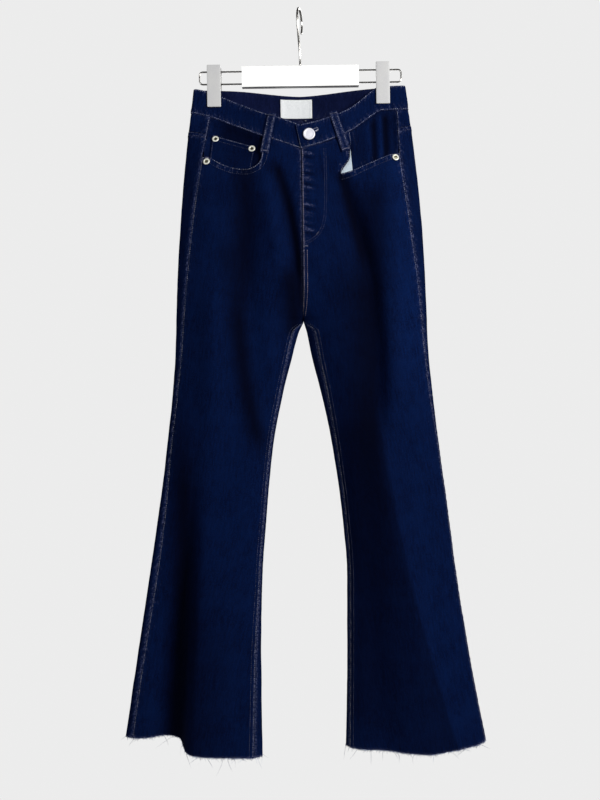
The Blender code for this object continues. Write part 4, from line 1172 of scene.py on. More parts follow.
COIN_WIDTH = 60
COIN_HEIGHT = 48
COIN_CORNERS = {"top": ((70.0, -216.5), (137.5, -193.0)), "low": ((78.5, -262.0), (140.5, -244.0))}


def coin_spot(column, share):
    """Lap and height on the coin pocket, column running outwards and share down."""
    near = [blend(COIN_CORNERS["top"][0][k], COIN_CORNERS["low"][0][k], share) for k in (0, 1)]
    far = [blend(COIN_CORNERS["top"][1][k], COIN_CORNERS["low"][1][k], share) for k in (0, 1)]
    height = blend(near[1], far[1], column)
    return HALVES[-1].lap_of(blend(near[0], far[0], column), height), height


def coin_lift(side, lap, height):
    return -(WALL + LAYING_GAP) + under_relief(side, lap, height)


def coin_pocket():
    columns, shares = np.meshgrid(spaced(COIN_WIDTH, 1.5), spaced(COIN_HEIGHT, 1.5))
    lap, height = coin_spot(columns, shares)
    from_top = shares * COIN_HEIGHT
    worn = 0.9 * hill(from_top, 2.2) + 0.5 * hill((1 - columns) * COIN_WIDTH, 2.0)
    lift = coin_lift(-1, lap, height) + 0.25 * hill(from_top - 4.0, 4.5)
    # Painted shade on the coin pocket, darkest at its side nearer the middle.
    item = shell("coin_pocket_cloth", -1, lap, height, lift, COIN_WALL, [DENIM, DENIM_INSIDE_SHADED], worn,
                 0.6 - 0.25 * columns)
    cut(item, node="coin_pocket")


def pocket_spot(side, column, share):
    """Lap and height on a back pocket, column running outwards and share down."""
    top, shoulder, tip = -252.0, -372.0, -394.0
    foot = blend(shoulder, tip, 1 - np.abs(2 * column - 1))
    height = blend(top - 6 * (1 - column), foot, share)
    across = blend(blend(30.0, 42.0, share), blend(160.0, 146.0, share), column)
    return HALVES[side].lap_of(across, height, "back"), height


def pocket_lift(side, lap, height):
    return LAYING_GAP + POCKET_WALL + relief(side, lap, height)


def back_pocket(side):
    width, length = 120, 130
    columns, shares = np.meshgrid(spaced(width, 2.2), spaced(length, 2.2))
    lap, height = pocket_spot(side, columns, shares)
    rim = np.minimum(np.minimum(columns, 1 - columns) * width, np.minimum(shares, 1 - shares) * length)
    puckers = 0.18 * ripple(height + lap * 190, 8.0, 61) * hill(rim, 7)
    hem = 0.4 * band(shares * length, -3.0, 12.0)
    name = "back_pocket_" + SIDE_NAMES[side]
    lift = pocket_lift(side, lap, height) + puckers + hem
    item = shell(name + "_cloth", side, lap, height, lift, POCKET_WALL, [DENIM, DENIM_INSIDE_SHADED],
                 0.9 * hill(rim, 1.8) + 0.3 * hill(rim - 7, 2))
    cut(item, node=name)


def fly_underlap():
    laps = lap_span(-0.07, 0.27, 62, 2.0)
    lows = -384.0 + 14 * np.clip(laps / 0.27, 0, 1) ** 2
    lap, height = between(laps, np.full(laps.shape, -224.5), lows, 158, 2.4)
    lift = -(WALL + LAYING_GAP) + 0.6 * under_relief(1, lap, height)
    item = shell("fly_underlap_cloth", 1, lap, height, lift, UNDERLAP_WALL, [DENIM, DENIM_INSIDE_SHADED])
    cut(item, node="fly_underlap")


def band_half_step():
    return (BAND_WALL + LAYER_GAP) / 2


def band_lift(lap, layer):
    """The left end lies on top of the right at the centre front."""
    if layer == "top":
        return BAND_PROUD + band_half_step() * (1 - ramp(0.2, 0.5, lap))
    return BAND_PROUD - band_half_step() * (1 - ramp(0.12, 0.5, lap))


# The band's course: half, lap at the start and the end, and layer. The left end comes first. It crosses the
# middle by this length.
LEFT_END_LENGTH = 11
BAND_RUNS = ((-1, 0.060, 0.004, "top"), (1, 0.002, 2 - SEAM, "top"), (-1, 2 - SEAM, 0.002, "beneath"),
             (1, 0.012, 0.2, "beneath"))


def band_course(shares, extra, step=2.2):
    """Points and normals of the waistband, one row for each share of its height, along its whole course."""
    shares = np.asarray(shares, float)
    points, normals, alongs = [], [], []
    reached = 0.0
    for number, (side, start, end, layer) in enumerate(BAND_RUNS):
        length = abs(end - start) * HALF_WAIST
        count = max(int(length / step), 3)
        at = spaced(length, step) if number in (0, 3) else np.linspace(0, 1, count + 1)
        if number == 0:
            at = at[:-3]
        if number == 3:
            at = at[3:]
        starts = blend(0.003, start, shares)[:, None] if number == 0 else start
        lap = blend(starts, end, at[None, :]) + 0 * shares[:, None]
        height = seam_height(side, lap[0])[None, :] + BAND_HEIGHT * shares[:, None]
        along = reached + np.abs(lap[-1] - start) * HALF_WAIST
        reached = along[-1]
        up = BAND_HEIGHT * shares[:, None] + 0 * lap
        lift = band_lift(lap, layer) + extra(np.broadcast_to(along, lap.shape), up)
        place, normal = surface(side, lap, height, lift)
        points.append(place)
        normals.append(normal)
        alongs.append(along)
    return np.concatenate(points, axis=1), np.concatenate(normals, axis=1), np.concatenate(alongs)


def band_form(along, up):
    """Puckers along the waistband's two sewn edges."""
    total = 0.22 * uneven(along, up, 17, 71) + 0.10 * uneven(along, up, 6, 72)
    total = total + 0.42 * ripple(along + 0.5 * up, 8.5, 73) * hill(up, 8)
    total = total + 0.28 * ripple(along - 0.4 * up, 7.5, 74) * hill(BAND_HEIGHT - up, 7)
    total = total - 0.22 * hill(up - 1.6, 0.8) - 0.22 * hill(BAND_HEIGHT - up - 1.6, 0.8)
    return total


def band_inside(along, up):
    """The inner side, drawn up by its lower seam; it is only ever thinner than the plain wall."""
    pull = 0.5 + 0.5 * ripple(along + 0.25 * up, 7.5, 75)
    upper = 0.5 + 0.5 * ripple(along - 0.2 * up, 10.5, 76)
    creased = 0.55 * pull * hill(up, 22) + 0.5 * upper * hill(BAND_HEIGHT - up, 15)
    return -BAND_WALL + band_form(along, up) * 0.3 + creased


def waistband():
    shares = spaced(BAND_HEIGHT, 1.9, (0.0, 0.25, 0.65, 1.1))
    outer, normal, along = band_course(shares, band_form)
    inner, _, _ = band_course(shares, band_inside)
    near_edge = np.clip(1 - edge_distance(outer) / 1.0, 0, 1)
    thin = (0.42 * np.linalg.norm(outer - inner, axis=-1) * (1 - np.sqrt(1 - near_edge ** 2)))[..., None]
    outer = outer - normal * thin
    inner = inner + normal * thin
    up = BAND_HEIGHT * shares[:, None] + 0 * along
    cloth_map = np.stack([along + 0 * up, up], axis=-1).reshape(-1, 2)
    low = 0.35 + 0.65 * np.clip(ripple(along + 0.5 * up, 8.5, 73), -0.5, 1)
    high = 0.30 + 0.55 * np.clip(ripple(along - 0.4 * up, 7.5, 74), -0.5, 1)
    worn = 0.6 * hill(up, 1.3) + low * hill(up, 11)
    worn = worn + 0.6 * hill(BAND_HEIGHT - up, 1.5) + high * hill(BAND_HEIGHT - up, 9)
    item = wall_piece("waistband_cloth", outer, inner, [DENIM, DENIM_BAND_INSIDE], cloth_map, worn)
    cut(item, node="waistband")


LOOPS = (
    ("belt_loop_1", -1, "front", (44.2, -167.0), (56.3, -229.3), "plain"),
    ("belt_loop_2", 1, "front", (48.4, -165.3), (67.6, -228.3), "on_overlap"),
    ("belt_loop_3", -1, "back", (84.0, -123.0), (84.0, -183.0), "plain"),
    ("belt_loop_4", 1, "back", (84.0, -123.0), (84.0, -183.0), "plain"),
    ("belt_loop_5", 1, "back", (0.0, -126.0), (0.0, -186.0), "plain"),
)


def loop_spot(row, column, share):
    """Lap, height and lift on a belt loop, column running across it in millimetres and share down."""
    name, side, face, start, end, kind = row
    lean = (end[0] - start[0]) / (end[1] - start[1])
    height = blend(start[1], end[1], share) - column * lean
    lap = HALVES[side].lap_of(blend(start[0], end[0], share) + column, height, face)
    foot = LAYING_GAP + LOOP_WALL
    head = BAND_PROUD + LAYER_GAP + LOOP_WALL
    raised = band_half_step() if kind == "on_overlap" else 0.0
    rows = ((0, head + raised), (0.25, head + 1.1 + raised), (0.5, head + 1.1 + raised),
            (0.75, foot + 1.2 + 0.2 * (raised > 0)), (1, foot + 0.8 * (raised > 0)))
    lift = curve(rows, share) + 0.35 * np.cos(column / LOOP_WIDTH * math.pi) - 0.2
    lift = lift + 0.10 * ripple(share * 60 + column * 0.4, 9.0, 81 + start[0])
    return lap, height, lift


def belt_loops():
    for row in LOOPS:
        shares, columns = spaced(60, 1.3), (spaced(LOOP_WIDTH, 1.0, (0.0, 0.25, 0.6, 1.0)) - 0.5) * LOOP_WIDTH
        column, share = np.meshgrid(columns, shares)
        lap, height, lift = loop_spot(row, column, share)
        edge = LOOP_WIDTH / 2 - np.abs(column)
        worn = 0.3 + hill(edge, 1.0) + 0.5 * hill(edge - 3.4, 1.0)
        item = shell(row[0] + "_cloth", row[1], lap, height, lift, LOOP_WALL, [DENIM, DENIM], worn)
        cut(item, node=row[0])


def waist_label():
    start, width, top, tall = -29.6, 47.4, -132.5, 29.5
    across, height = np.meshgrid(start + width * spaced(width, 1.6), top - tall * spaced(tall, 1.6))
    lap = HALVES[1].lap_of(across, height, "back")
    fold = np.minimum(across - start, start + width - across)
    lift = BAND_PROUD - BAND_WALL - LAYER_GAP - 0.25
    lift = lift + 0.3 * ramp(3.0, 4.4, fold) - 0.12 * ripple(across, 17.0, 91)
    item = shell("waist_label_cloth", 1, lap, height, lift - 0.05, LABEL_WALL, [LABEL, LABEL])
    cut(item, slot="woven_label", node="waist_label")


class Sewing:
    """Rows of thread that end up as one joined piece."""

    def __init__(self, name, finish):
        self.name = name
        self.finish = finish
        self.points = []
        self.quads = []
        self.corners = []
        self.count = 0

    def stitches(self, place, normal, half_width, rise, sunk):
        """Add stitches from five stations each: place and normal have the shape (stitch, station, 3)."""
        aside = np.cross(normal, unit(place[:, -1:] - place[:, :1]))
        lifts = np.array([-sunk, rise * 0.25, rise * 0.62, rise * 0.25, -sunk])[None, :, None]
        middle = place + normal * lifts
        rings = middle[:, 1:4]
        up = normal[:, 1:4] * rise * 0.5
        over = aside[:, 1:4] * half_width
        ring = np.stack([rings + up, rings + over, rings - up, rings - over], axis=2)
        number = len(place)
        block = np.concatenate((middle[:, :1], ring.reshape(number, 12, 3), middle[:, -1:]), axis=1)
        start = self.count + 14 * np.arange(number)[:, None, None]
        quads, corners = [], []
        for a, b in ((0, 1), (1, 2), (2, 3), (3, 0)):
            quads += [(a + low, b + low, b + low + 4, a + low + 4) for low in (1, 5)]
            corners += [(0, 1 + b, 1 + a), (13, 9 + a, 9 + b)]
        self.quads.append((start + np.array(quads)[None]).reshape(-1, 4))
        self.corners.append((start + np.array(corners)[None]).reshape(-1, 3))
        self.points.append(block.reshape(-1, 3))
        self.count += 14 * number

    def row(self, path, pitch=3.2, length=2.15, width=0.50, rise=0.36, seed=1):
        """Stitches end to end along a path of points and normals."""
        points, normals = path
        run = run_along(points)
        count = int(run[-1] / pitch)
        if count < 1:
            return
        rng = np.random.default_rng(seed)
        centre = (np.arange(count) + 0.5) * run[-1] / count + rng.uniform(-0.12, 0.12, count)
        reach = length / 2 * rng.uniform(0.9, 1.06, (count, 1))
        at = centre[:, None] + np.array([-1, -0.62, 0, 0.62, 1])[None, :] * reach
        normal = unit(read_along(normals, run, at))
        self.stitches(read_along(points, run, at), normal, width / 2, rise, 0.25)

    def satin(self, path, across, pitch=0.5, width=0.5, rise=0.5, seed=1):
        """Close stitches square to a path, as in a buttonhole or a bartack."""
        points, normals = path
        run = run_along(points)
        count = max(int(run[-1] / pitch), 2)
        rng = np.random.default_rng(seed)
        at = (np.arange(count) + 0.5) * run[-1] / count
        place = read_along(points, run, at)
        ahead = read_along(points, run, at + 0.4)
        behind = read_along(points, run, at - 0.4)
        normal = unit(read_along(normals, run, at))
        square = unit(np.cross(normal, ahead - behind))
        square = square * (across / 2 * rng.uniform(0.88, 1.12, count))[:, None]
        stations = np.array([-1, -0.7, 0, 0.7, 1])[None, :, None]
        self.stitches(place[:, None] + square[:, None] * stations, np.repeat(normal[:, None], 5, axis=1),
                      width / 2, rise, 0.2)

    def finish_piece(self):
        mesh = bpy.data.meshes.new(self.name)
        points = np.concatenate(self.points) * MM
        faces = np.concatenate(self.quads).tolist() + np.concatenate(self.corners).tolist()
        mesh.from_pydata(points, [], faces)
        mesh.materials.append(self.finish)
        mesh.shade_smooth()
        keep(placed(self.name, mesh), "topstitch")


def on_panel(side, lap, height, above=0.0):
    """A sewn path over a front or back panel or a yoke."""
    lap, height = np.broadcast_arrays(np.asarray(lap, float), np.asarray(height, float))
    return surface(side, lap, height, relief(side, lap, height) + panel_lift(side, lap, height) + above)


def down(top, low, step=0.8):
    return np.linspace(top, low, int(abs(top - low) / step) + 2)


def flat_offset(across, height, distance):
    """A path in the flat cloth moved sideways, to the right of its course."""
    step_x = np.gradient(across)
    step_z = np.gradient(height)
    length = np.hypot(step_x, step_z)
    return across + distance * step_z / length, height - distance * step_x / length


def mouth_path(side, distance):
    """Along the pocket's mouth, a distance in from its edge."""
    laps = np.concatenate((np.linspace(POCKET_MOUTH[side][0][0], STEEP_END[side], 160)[:-1],
                           np.linspace(STEEP_END[side], 0.994, 220)))
    height = mouth_height(side, laps)
    across = mouth_hang(side, laps, height) * HALVES[side].run(height, "front")
    across, height = flat_offset(across, height, distance)
    keep_rows = height < seam_height(side, np.clip(across / 150, 0, 1)) - 1.5
    if side > 0:
        near_edge = distance < 4
        keep_rows = keep_rows & ((across > 59) | ((height > -210) & near_edge))
        keep_rows = keep_rows & (near_edge | (height < -258) | (across > 90))
    across, height = across[keep_rows], height[keep_rows]
    return HALVES[side].lap_of(across, height), height


def through(rows, step=0.8):
    """A smooth line through points of (across, height)."""
    rows = np.array(rows, float)
    run = run_along(rows)
    at = np.linspace(0, run[-1], int(run[-1] / step) + 2)
    return curve(np.stack([run, rows[:, 0]], axis=-1), at), curve(np.stack([run, rows[:, 1]], axis=-1), at)


def sew_legs():
    light = Sewing("outseam_stitches", THREAD_LEG)
    inside = Sewing("inseam_stitches", THREAD_LEG)
    soft = Sewing("inseam_soft_stitches", THREAD_DARK)
    for side in (-1, 1):
        half = HALVES[side]
        height = down(float(seam_height(side, 1)) - 2, HEM + 6)
        aside = blend(-1.7, 0.8, ramp(-6, 5, height - mouth_height(side, 1)))
        light.row(on_panel(side, 1 + aside / half.run(height, "front"), height), seed=3 + side)
        height = down(CROTCH - 7, HEM - 2)
        inside.row(on_panel(side, half.lap_of(2.1, height), height), seed=5 + side)
        soft.row(on_panel(side, half.lap_of(7.2, height), height), width=0.5, rise=0.32, seed=7 + side)
    light.finish_piece()
    inside.finish_piece()
    soft.finish_piece()


def sew_centre():
    half = HALVES[1]
    back = Sewing("centre_back_stitches", THREAD)
    height = down(-166, CROTCH + 6)
    for distance in (1.5, 7.0):
        back.row(on_panel(1, half.lap_of(distance, height, "back"), height), seed=11)
    back.finish_piece()
    fly = Sewing("fly_stitches", THREAD_FLY)
    height = down(-224, -374)
    fly.row(on_panel(1, half.lap_of(1.5, height), height), seed=12)
    curved = Sewing("fly_curved_stitches", THREAD_DARK)
    across, height = through([(x, z) for z, x in FLY_SEWING])
    for distance in (0.0, 3.2):
        moved, level = flat_offset(across, height, distance)
        use = (level < -222) & (moved > 2)
        path = on_panel(1, half.lap_of(moved[use], level[use]), level[use])
        curved.row(path, width=0.44, rise=0.3, seed=13)
    curved.finish_piece()
    height = down(-376, CROTCH + 5)
    for distance in (1.5, 6.5):
        fly.row(on_panel(1, half.lap_of(distance, height), height), width=0.55, seed=14)
    fly.finish_piece()


def bartack(sewing, side, across, height, length, lean, face="front", width=2.2, above=0.0, spot=on_panel):
    """A short thick bar of close stitches. lean is its turn from upright, in degrees."""
    at = np.linspace(-length / 2, length / 2, 12)
    x = across + at * math.sin(math.radians(lean))
    z = height + at * math.cos(math.radians(lean))
    sewing.satin(spot(side, HALVES[side].lap_of(x, z, face), z, above), width, seed=15)


BACK_POCKET_WIDTH = 122
BACK_POCKET_HEIGHT = 128


def sew_pockets():
    mouths = Sewing("pocket_mouth_stitches", THREAD)
    faint = Sewing("pocket_mouth_soft_stitches", THREAD_DARK)
    for side in (-1, 1):
        mouths.row(on_panel(side, *mouth_path(side, 1.4)), seed=21 + side)
        faint.row(on_panel(side, *mouth_path(side, 8.5)), seed=23 + side)
    mouths.finish_piece()
    faint.finish_piece()
    coin = Sewing("coin_pocket_stitches", THREAD)
    sides = Sewing("coin_pocket_soft_stitches", THREAD_DARK)

    def on_coin(column, share):
        lap, height = coin_spot(column, share)
        hem = 0.25 * hill(share * COIN_HEIGHT - 4.0, 4.5)
        return surface(-1, lap, height, coin_lift(-1, lap, height) + hem)

    across = np.linspace(0.02, 0.98, 90)
    coin.row(on_coin(across, 0 * across + 1.5 / COIN_HEIGHT), seed=25)
    sides.row(on_coin(across, 0 * across + 7.5 / COIN_HEIGHT), rise=0.3, seed=26)
    inset = 1.6 / 58
    sides.row(on_coin(0 * across + inset, across), rise=0.3, seed=27)
    sides.row(on_coin(0 * across + 1 - inset, across), seed=28)
    coin.finish_piece()
    sides.finish_piece()
    yokes = Sewing("yoke_stitches", THREAD_DARK)
    backs = Sewing("back_pocket_stitches", THREAD)
    for side in (-1, 1):
        laps = np.linspace(1.008, 1.99, 260)
        for distance in (1.4, 6.4):
            yokes.row(on_panel(side, laps, yoke_height(side, laps) - distance), seed=31 + side)
        for inset in (1.6, 7.4):
            edge = inset / BACK_POCKET_WIDTH
            low = 1 - inset / BACK_POCKET_HEIGHT
            column = np.concatenate((np.full(60, edge), np.linspace(edge, 0.5, 40)[1:],
                                     np.linspace(0.5, 1 - edge, 40)[1:], np.full(60, 1 - edge)[1:]))
            fall = np.linspace(0.02, low, 60)
            share = np.concatenate((fall, np.full(78, low), np.linspace(low, 0.02, 60)[1:]))
            lap, height = pocket_spot(side, column, share)
            backs.row(surface(side, lap, height, pocket_lift(side, lap, height)), seed=33 + side)
        column = np.linspace(0.02, 0.98, 90)
        for inset in (2.0, 12.0):
            lap, height = pocket_spot(side, column, 0 * column + inset / 130)
            backs.row(surface(side, lap, height, pocket_lift(side, lap, height) + 0.35), seed=35 + side)
    yokes.finish_piece()
    backs.finish_piece()


def sew_waistband():
    rows = Sewing("waistband_stitches", THREAD)
    inset = 1.7
    shares = np.array([inset, BAND_HEIGHT - inset]) / BAND_HEIGHT
    points, normals, along = band_course(shares, band_form, step=0.8)
    hidden = along[-1] - 36
    show = (along > 1.6) & (along < hidden)
    for number in range(2):
        rows.row((points[number][show], normals[number][show]), seed=41 + number)
    shares = np.linspace(inset, BAND_HEIGHT - inset, 50) / BAND_HEIGHT
    points, normals, along = band_course(shares, band_form, step=0.8)
    column = int(np.argmin(np.abs(along - 1.8)))
    rows.row((points[:, column], normals[:, column]), seed=43)
    hole = Sewing("buttonhole_stitches", THREAD)
    turn = np.linspace(0, 2 * math.pi, 120)
    length, width, lean = 19.0, 4.2, 0.42
    middle, level = 15.5, -197.5
    across = middle + (length - width) / 2 * np.sign(np.cos(turn)) + width / 2 * np.cos(turn)
    height = level + lean * (across - middle) + width / 2 * np.sin(turn)
    lap = HALVES[1].lap_of(across, height)
    up = height - seam_height(1, lap)
    lift = band_lift(lap, "top") + band_form(lap * HALF_WAIST + LEFT_END_LENGTH, up)
    hole.satin(surface(1, lap, height, lift), 2.0, seed=44)
    hole.finish_piece()
    rows.finish_piece()


# Side, distance from the middle, height, length and lean in degrees
BARTACKS = (
    (1, 22.5, -352.0, 6.0, 40),
    (1, 4.0, -371.0, 7.0, 90),
    (-1, 143.5, -233.8, 6.0, 80),
    (1, 144.5, -232.8, 4.0, 60),
)


def sew_loops():
    rows = Sewing("belt_loop_stitches", THREAD)
    tacks = Sewing("bartack_stitches", THREAD_DARK)
    for number, row in enumerate(LOOPS):
        share = np.linspace(0.02, 0.98, 90)
        for column in (-LOOP_WIDTH / 2 + 1.9, LOOP_WIDTH / 2 - 1.9):
            lap, height, lift = loop_spot(row, column + 0 * share, share)
            rows.row(surface(row[1], lap, height, lift), seed=51 + number)
        for share_at in (0.05, 0.95):
            column = np.linspace(-LOOP_WIDTH / 2 + 0.8, LOOP_WIDTH / 2 - 0.8, 20)
            lap, height, lift = loop_spot(row, column, share_at + 0 * column)
            tacks.satin(surface(row[1], lap, height, lift), 1.8, seed=55 + number)
    for row in BARTACKS:
        bartack(tacks, *row)
    rows.finish_piece()
    tacks.finish_piece()


def fray(side):
    """Loose threads all round a raw hem: short pale ones, more short indigo ones, and a few long ones."""
    rng = np.random.default_rng(61 + side)
    kinds = (("fray_", FRAY, 1300, 1.6, 0.16), ("fray_indigo_", FRAY_DARK, 3000, 1.7, 0.22))
    for kind, finish, count, typical, wire in kinds:
        name = kind + SIDE_NAMES[side]
        lap = rng.uniform(0.001, 1.999, count)
        height = HEM - curve(HEM_DROP[side], lap) + rng.uniform(-0.2, 1.2, count)
        lift = relief(side, lap, height) - rng.uniform(0.1, WALL - 0.1, count)
        root, normal = surface(side, lap, height, lift)
        ahead, _ = surface(side, np.clip(lap + 0.005, 0, 2), height, lift)
        over = unit(ahead - root, 1e-6)
        length = np.clip(rng.exponential(typical * 0.55, count) + 0.7, 0.7, 4.2)
        length[: count // 120] = rng.uniform(8, 20, count // 120)
        swing = rng.normal(0, 0.8, count)
        level = rng.uniform(0, 1, count) < 0.3
        swing = np.where(level, np.sign(swing) * rng.uniform(1.5, 3.5, count), swing)
        out = rng.normal(0.05, 0.3, count)
        heading = unit(over * swing[:, None] + normal * out[:, None] + np.array([0, 0, -1.0]))
        curl = over * rng.normal(0, 0.5, count)[:, None]
        curl = curl + np.array([0, 0, -0.6]) * rng.uniform(0, 1, count)[:, None]
        t = np.linspace(0, 1, 5)[None, :, None]
        spine = root[:, None] + (heading[:, None] * t + curl[:, None] * t * t) * length[:, None, None]
        first = unit(np.cross(heading, normal), 1e-6)
        second = np.cross(heading, first)
        thick = wire * rng.uniform(0.7, 1.3, count)[:, None, None] * np.array([1, 1, 0.9, 0.7])[None, :, None]
        rings = []
        for corner in range(3):
            angle = 2 * math.pi * corner / 3
            aside = first[:, None] * math.cos(angle) + second[:, None] * math.sin(angle)
            rings.append(spine[:, :4] + aside * thick)
        ring = np.stack(rings, axis=2).reshape(count, 12, 3)
        block = np.concatenate((ring, spine[:, 4:]), axis=1)
        start = 13 * np.arange(count)[:, None, None]
        quads = []
        for low in (0, 3, 6):
            quads += [(a + low, b + low, b + low + 3, a + low + 3) for a, b in ((0, 1), (1, 2), (2, 0))]
        corners = [(9 + k, 9 + (k + 1) % 3, 12) for k in range(3)] + [(2, 1, 0)]
        mesh = bpy.data.meshes.new(name)
        faces = (start + np.array(quads)[None]).reshape(-1, 4).tolist()
        faces = faces + (start + np.array(corners)[None]).reshape(-1, 3).tolist()
        mesh.from_pydata(block.reshape(-1, 3) * MM, [], faces)
        mesh.materials.append(finish)
        mesh.shade_smooth()
        keep(placed(name, mesh), "fray")


def round_about(sides):
    return [(math.cos(2 * math.pi * k / sides), math.sin(2 * math.pi * k / sides)) for k in range(sides)]


def join_rings(made, low, high, shift=0):
    """Faces between two rings of corners, with the second one turned by a number of corners."""
    count = len(low)
    return [made.faces.new((low[k], low[(k + 1) % count], high[(k + 1 + shift) % count],
                            high[(k + shift) % count])) for k in range(count)]


def turned(name, profile, side, lap, height, lift, finishes, well=0.0, sides=48):
    """A round piece of metal standing on the cloth. profile is (radius, height) from its foot to its top."""
    point, normal = surface(side, np.array([lap]), np.array([height]), np.array([lift]))
    made = bmesh.new()
    rings = []
    for radius, rise in profile:
        corners = [(radius * x, radius * y, rise) for x, y in round_about(sides)]
        rings.append([made.verts.new(Vector(corner) * MM) for corner in corners])
    for (low, high), (radius, _) in zip(zip(rings, rings[1:]), profile[1:]):
        for face in join_rings(made, low, high):
            face.material_index = int(radius < well and rise_of(profile, radius))
    made.faces.new(list(reversed(rings[0])))
    top = made.faces.new(rings[-1])
    top.material_index = int(well > 0)
    bmesh.ops.recalc_face_normals(made, faces=made.faces)
    turn = Vector((0, 0, 1)).rotation_difference(Vector(normal[0])).to_matrix().to_4x4()
    bmesh.ops.transform(made, matrix=Matrix.Translation(Vector(point[0]) * MM) @ turn, verts=made.verts)
    mesh = bpy.data.meshes.new(name + "_metal")
    made.to_mesh(mesh)
    made.free()
    for finish in finishes:
        mesh.materials.append(finish)
    mesh.shade_smooth()
    mesh.set_sharp_from_angle(angle=math.radians(60))
    keep(placed(name + "_metal", mesh), "trim_metal", name)


def rise_of(profile, radius):
    """Whether a radius belongs to the upper side of a turned piece."""
    widest = max(range(len(profile)), key=lambda number: profile[number][0])
    return any(abs(row[0] - radius) < 1e-6 for row in profile[widest:])


# Radius and height of each corner, from the foot to the middle of the top
BUTTON_PROFILE = ((6.0, 0.0), (6.2, 0.9), (8.4, 1.0), (8.9, 1.25), (9.05, 1.75), (8.85, 2.3), (8.3, 2.75),
                  (7.6, 2.92), (7.0, 2.86), (6.55, 2.66), (6.25, 2.5), (5.6, 2.46), (4.2, 2.52), (2.6, 2.6),
                  (1.0, 2.64))
RIVET_PROFILE = ((4.5, 0.0), (5.0, 0.15), (5.25, 0.5), (5.1, 0.95), (4.6, 1.25), (3.9, 1.38), (3.3, 1.33),
                 (2.85, 1.15), (2.6, 0.85), (2.4, 0.6), (1.7, 0.55), (1.2, 0.75), (0.7, 0.9), (0.3, 0.92))


def trims():
    band_top = BAND_PROUD + band_half_step()
    lap = HALVES[1].lap_of(11.5, -202)
    turned("waist_button", BUTTON_PROFILE, 1, lap, -202.5, band_top + LAYER_GAP, [BUTTON])
    for name, side, across, height, lift in (
        ("rivet_1", -1, 132.6, -200.7, -(WALL + LAYING_GAP)),
        ("rivet_2", -1, 75.7, -219.7, -(WALL + LAYING_GAP)),
        ("rivet_3", -1, 143.8, -240.7, 0.0),
        ("rivet_4", 1, 142.5, -237.8, 0.0),
    ):
        lap = HALVES[side].lap_of(across, height)
        layer = under_relief if lift else relief
        rise = lift + LAYER_GAP + float(layer(side, np.array([lap]), np.array([height]))[0])
        turned(name, RIVET_PROFILE, side, lap, height, rise, [RIVET, RIVET_WELL_SHADED], well=2.5, sides=32)


def smooth_line(points, count, closed=False):
    """Evenly spaced points on a smooth line through points."""
    points = np.array(points, float)
    ring = np.concatenate((points[-2:], points, points[:3])) if closed else np.concatenate(
        ([2 * points[0] - points[1]], points, [2 * points[-1] - points[-2]]))
    out = []
    for number in range(1, len(ring) - 2):
        a, b, c, d = ring[number - 1:number + 3]
        for t in np.linspace(0, 1, 12, endpoint=False):
            bend = (2 * a - 5 * b + 4 * c - d) * t * t + (3 * b - a - 3 * c + d) * t ** 3
            out.append(0.5 * (2 * b + (c - a) * t + bend))
    out.append(ring[-2])
    out = np.array(out)
    if closed:
        out = out[12:-24]
    run = run_along(out)
    return read_along(out, run, np.linspace(0, run[-1], count))


def wire_piece(name, points, wire, finish, closed=False, sides=20, made=None):
    """Round wire through points in millimetres, with rounded ends unless it is closed."""
    points = np.asarray(points, float)
    radii = np.full(len(points), wire / 2)
    if not closed:
        ends = wire / 2 * np.array([0.0, 0.13, 0.5, 1.0])
        size = wire / 2 * np.sqrt(1 - np.array([0.97, 0.85, 0.5, 0.0]) ** 2)
        start = points[0] + ends[:, None] * unit(points[1] - points[0])
        end = points[-1] + ends[:, None] * unit(points[-2] - points[-1])
        points = np.concatenate((start, points[2:-2], end[::-1]))
        radii = np.concatenate((size, np.full(len(points) - 8, wire / 2), size[::-1]))
    if closed:
        tangent = np.roll(points, -1, axis=0) - np.roll(points, 1, axis=0)
    else:
        tangent = np.gradient(points, axis=0)
    tangent = unit(tangent)
    aside = np.cross(tangent[0], (0.3, 0.9, 0.2))
    frames = []
    for step in tangent:
        aside = unit(aside - step * np.dot(aside, step))
        frames.append((aside, np.cross(step, aside)))
    made = bmesh.new() if made is None else made
    rings = []
    for place, radius, (one, two) in zip(points, radii, frames):
        corners = [place + radius * (one * x + two * y) for x, y in round_about(sides)]
        rings.append([made.verts.new(corner * MM) for corner in corners])
    pairs = list(zip(rings, rings[1:])) + ([(rings[-1], rings[0])] if closed else [])
    for low, high in pairs:
        shift = 0
        if closed and high is rings[0]:
            gaps = [(high[s].co - low[0].co).length for s in range(sides)]
            shift = gaps.index(min(gaps))
        join_rings(made, low, high, shift)
    if not closed:
        made.faces.new(list(reversed(rings[0])))
        made.faces.new(rings[-1])
    return mesh_piece(name, made, finish) if name else None


def mesh_piece(name, made, finish):
    bmesh.ops.recalc_face_normals(made, faces=made.faces)
    mesh = bpy.data.meshes.new(name)
    made.to_mesh(mesh)
    made.free()
    mesh.materials.append(finish)
    mesh.shade_smooth()
    mesh.set_sharp_from_angle(angle=math.radians(45))
    return placed(name, mesh)


def hook_points():
    """Up from the sleeve, forward round the rail, over it and down behind, and turned a little."""
    radius = RAIL_CLEAR_RADIUS + HOOK_WIRE / 2
    centre = -radius + HOOK_WIRE / 2
    bottom = SLEEVE_TOP + LAYER_GAP
    path = [(0.0, bottom), (0.0, bottom + 8)]
    for number in range(1, 8):
        t = number / 8
        path.append((blend(0.0, -radius, float(ramp(0, 1, t))), blend(bottom + 8, centre, t)))
    for number in range(0, 21):
        angle = math.pi + number / 20 * math.radians(-225)
        path.append((radius * math.cos(angle), centre + radius * math.sin(angle)))
    return [(y * math.sin(HOOK_TWIST), y * math.cos(HOOK_TWIST), z) for y, z in path]


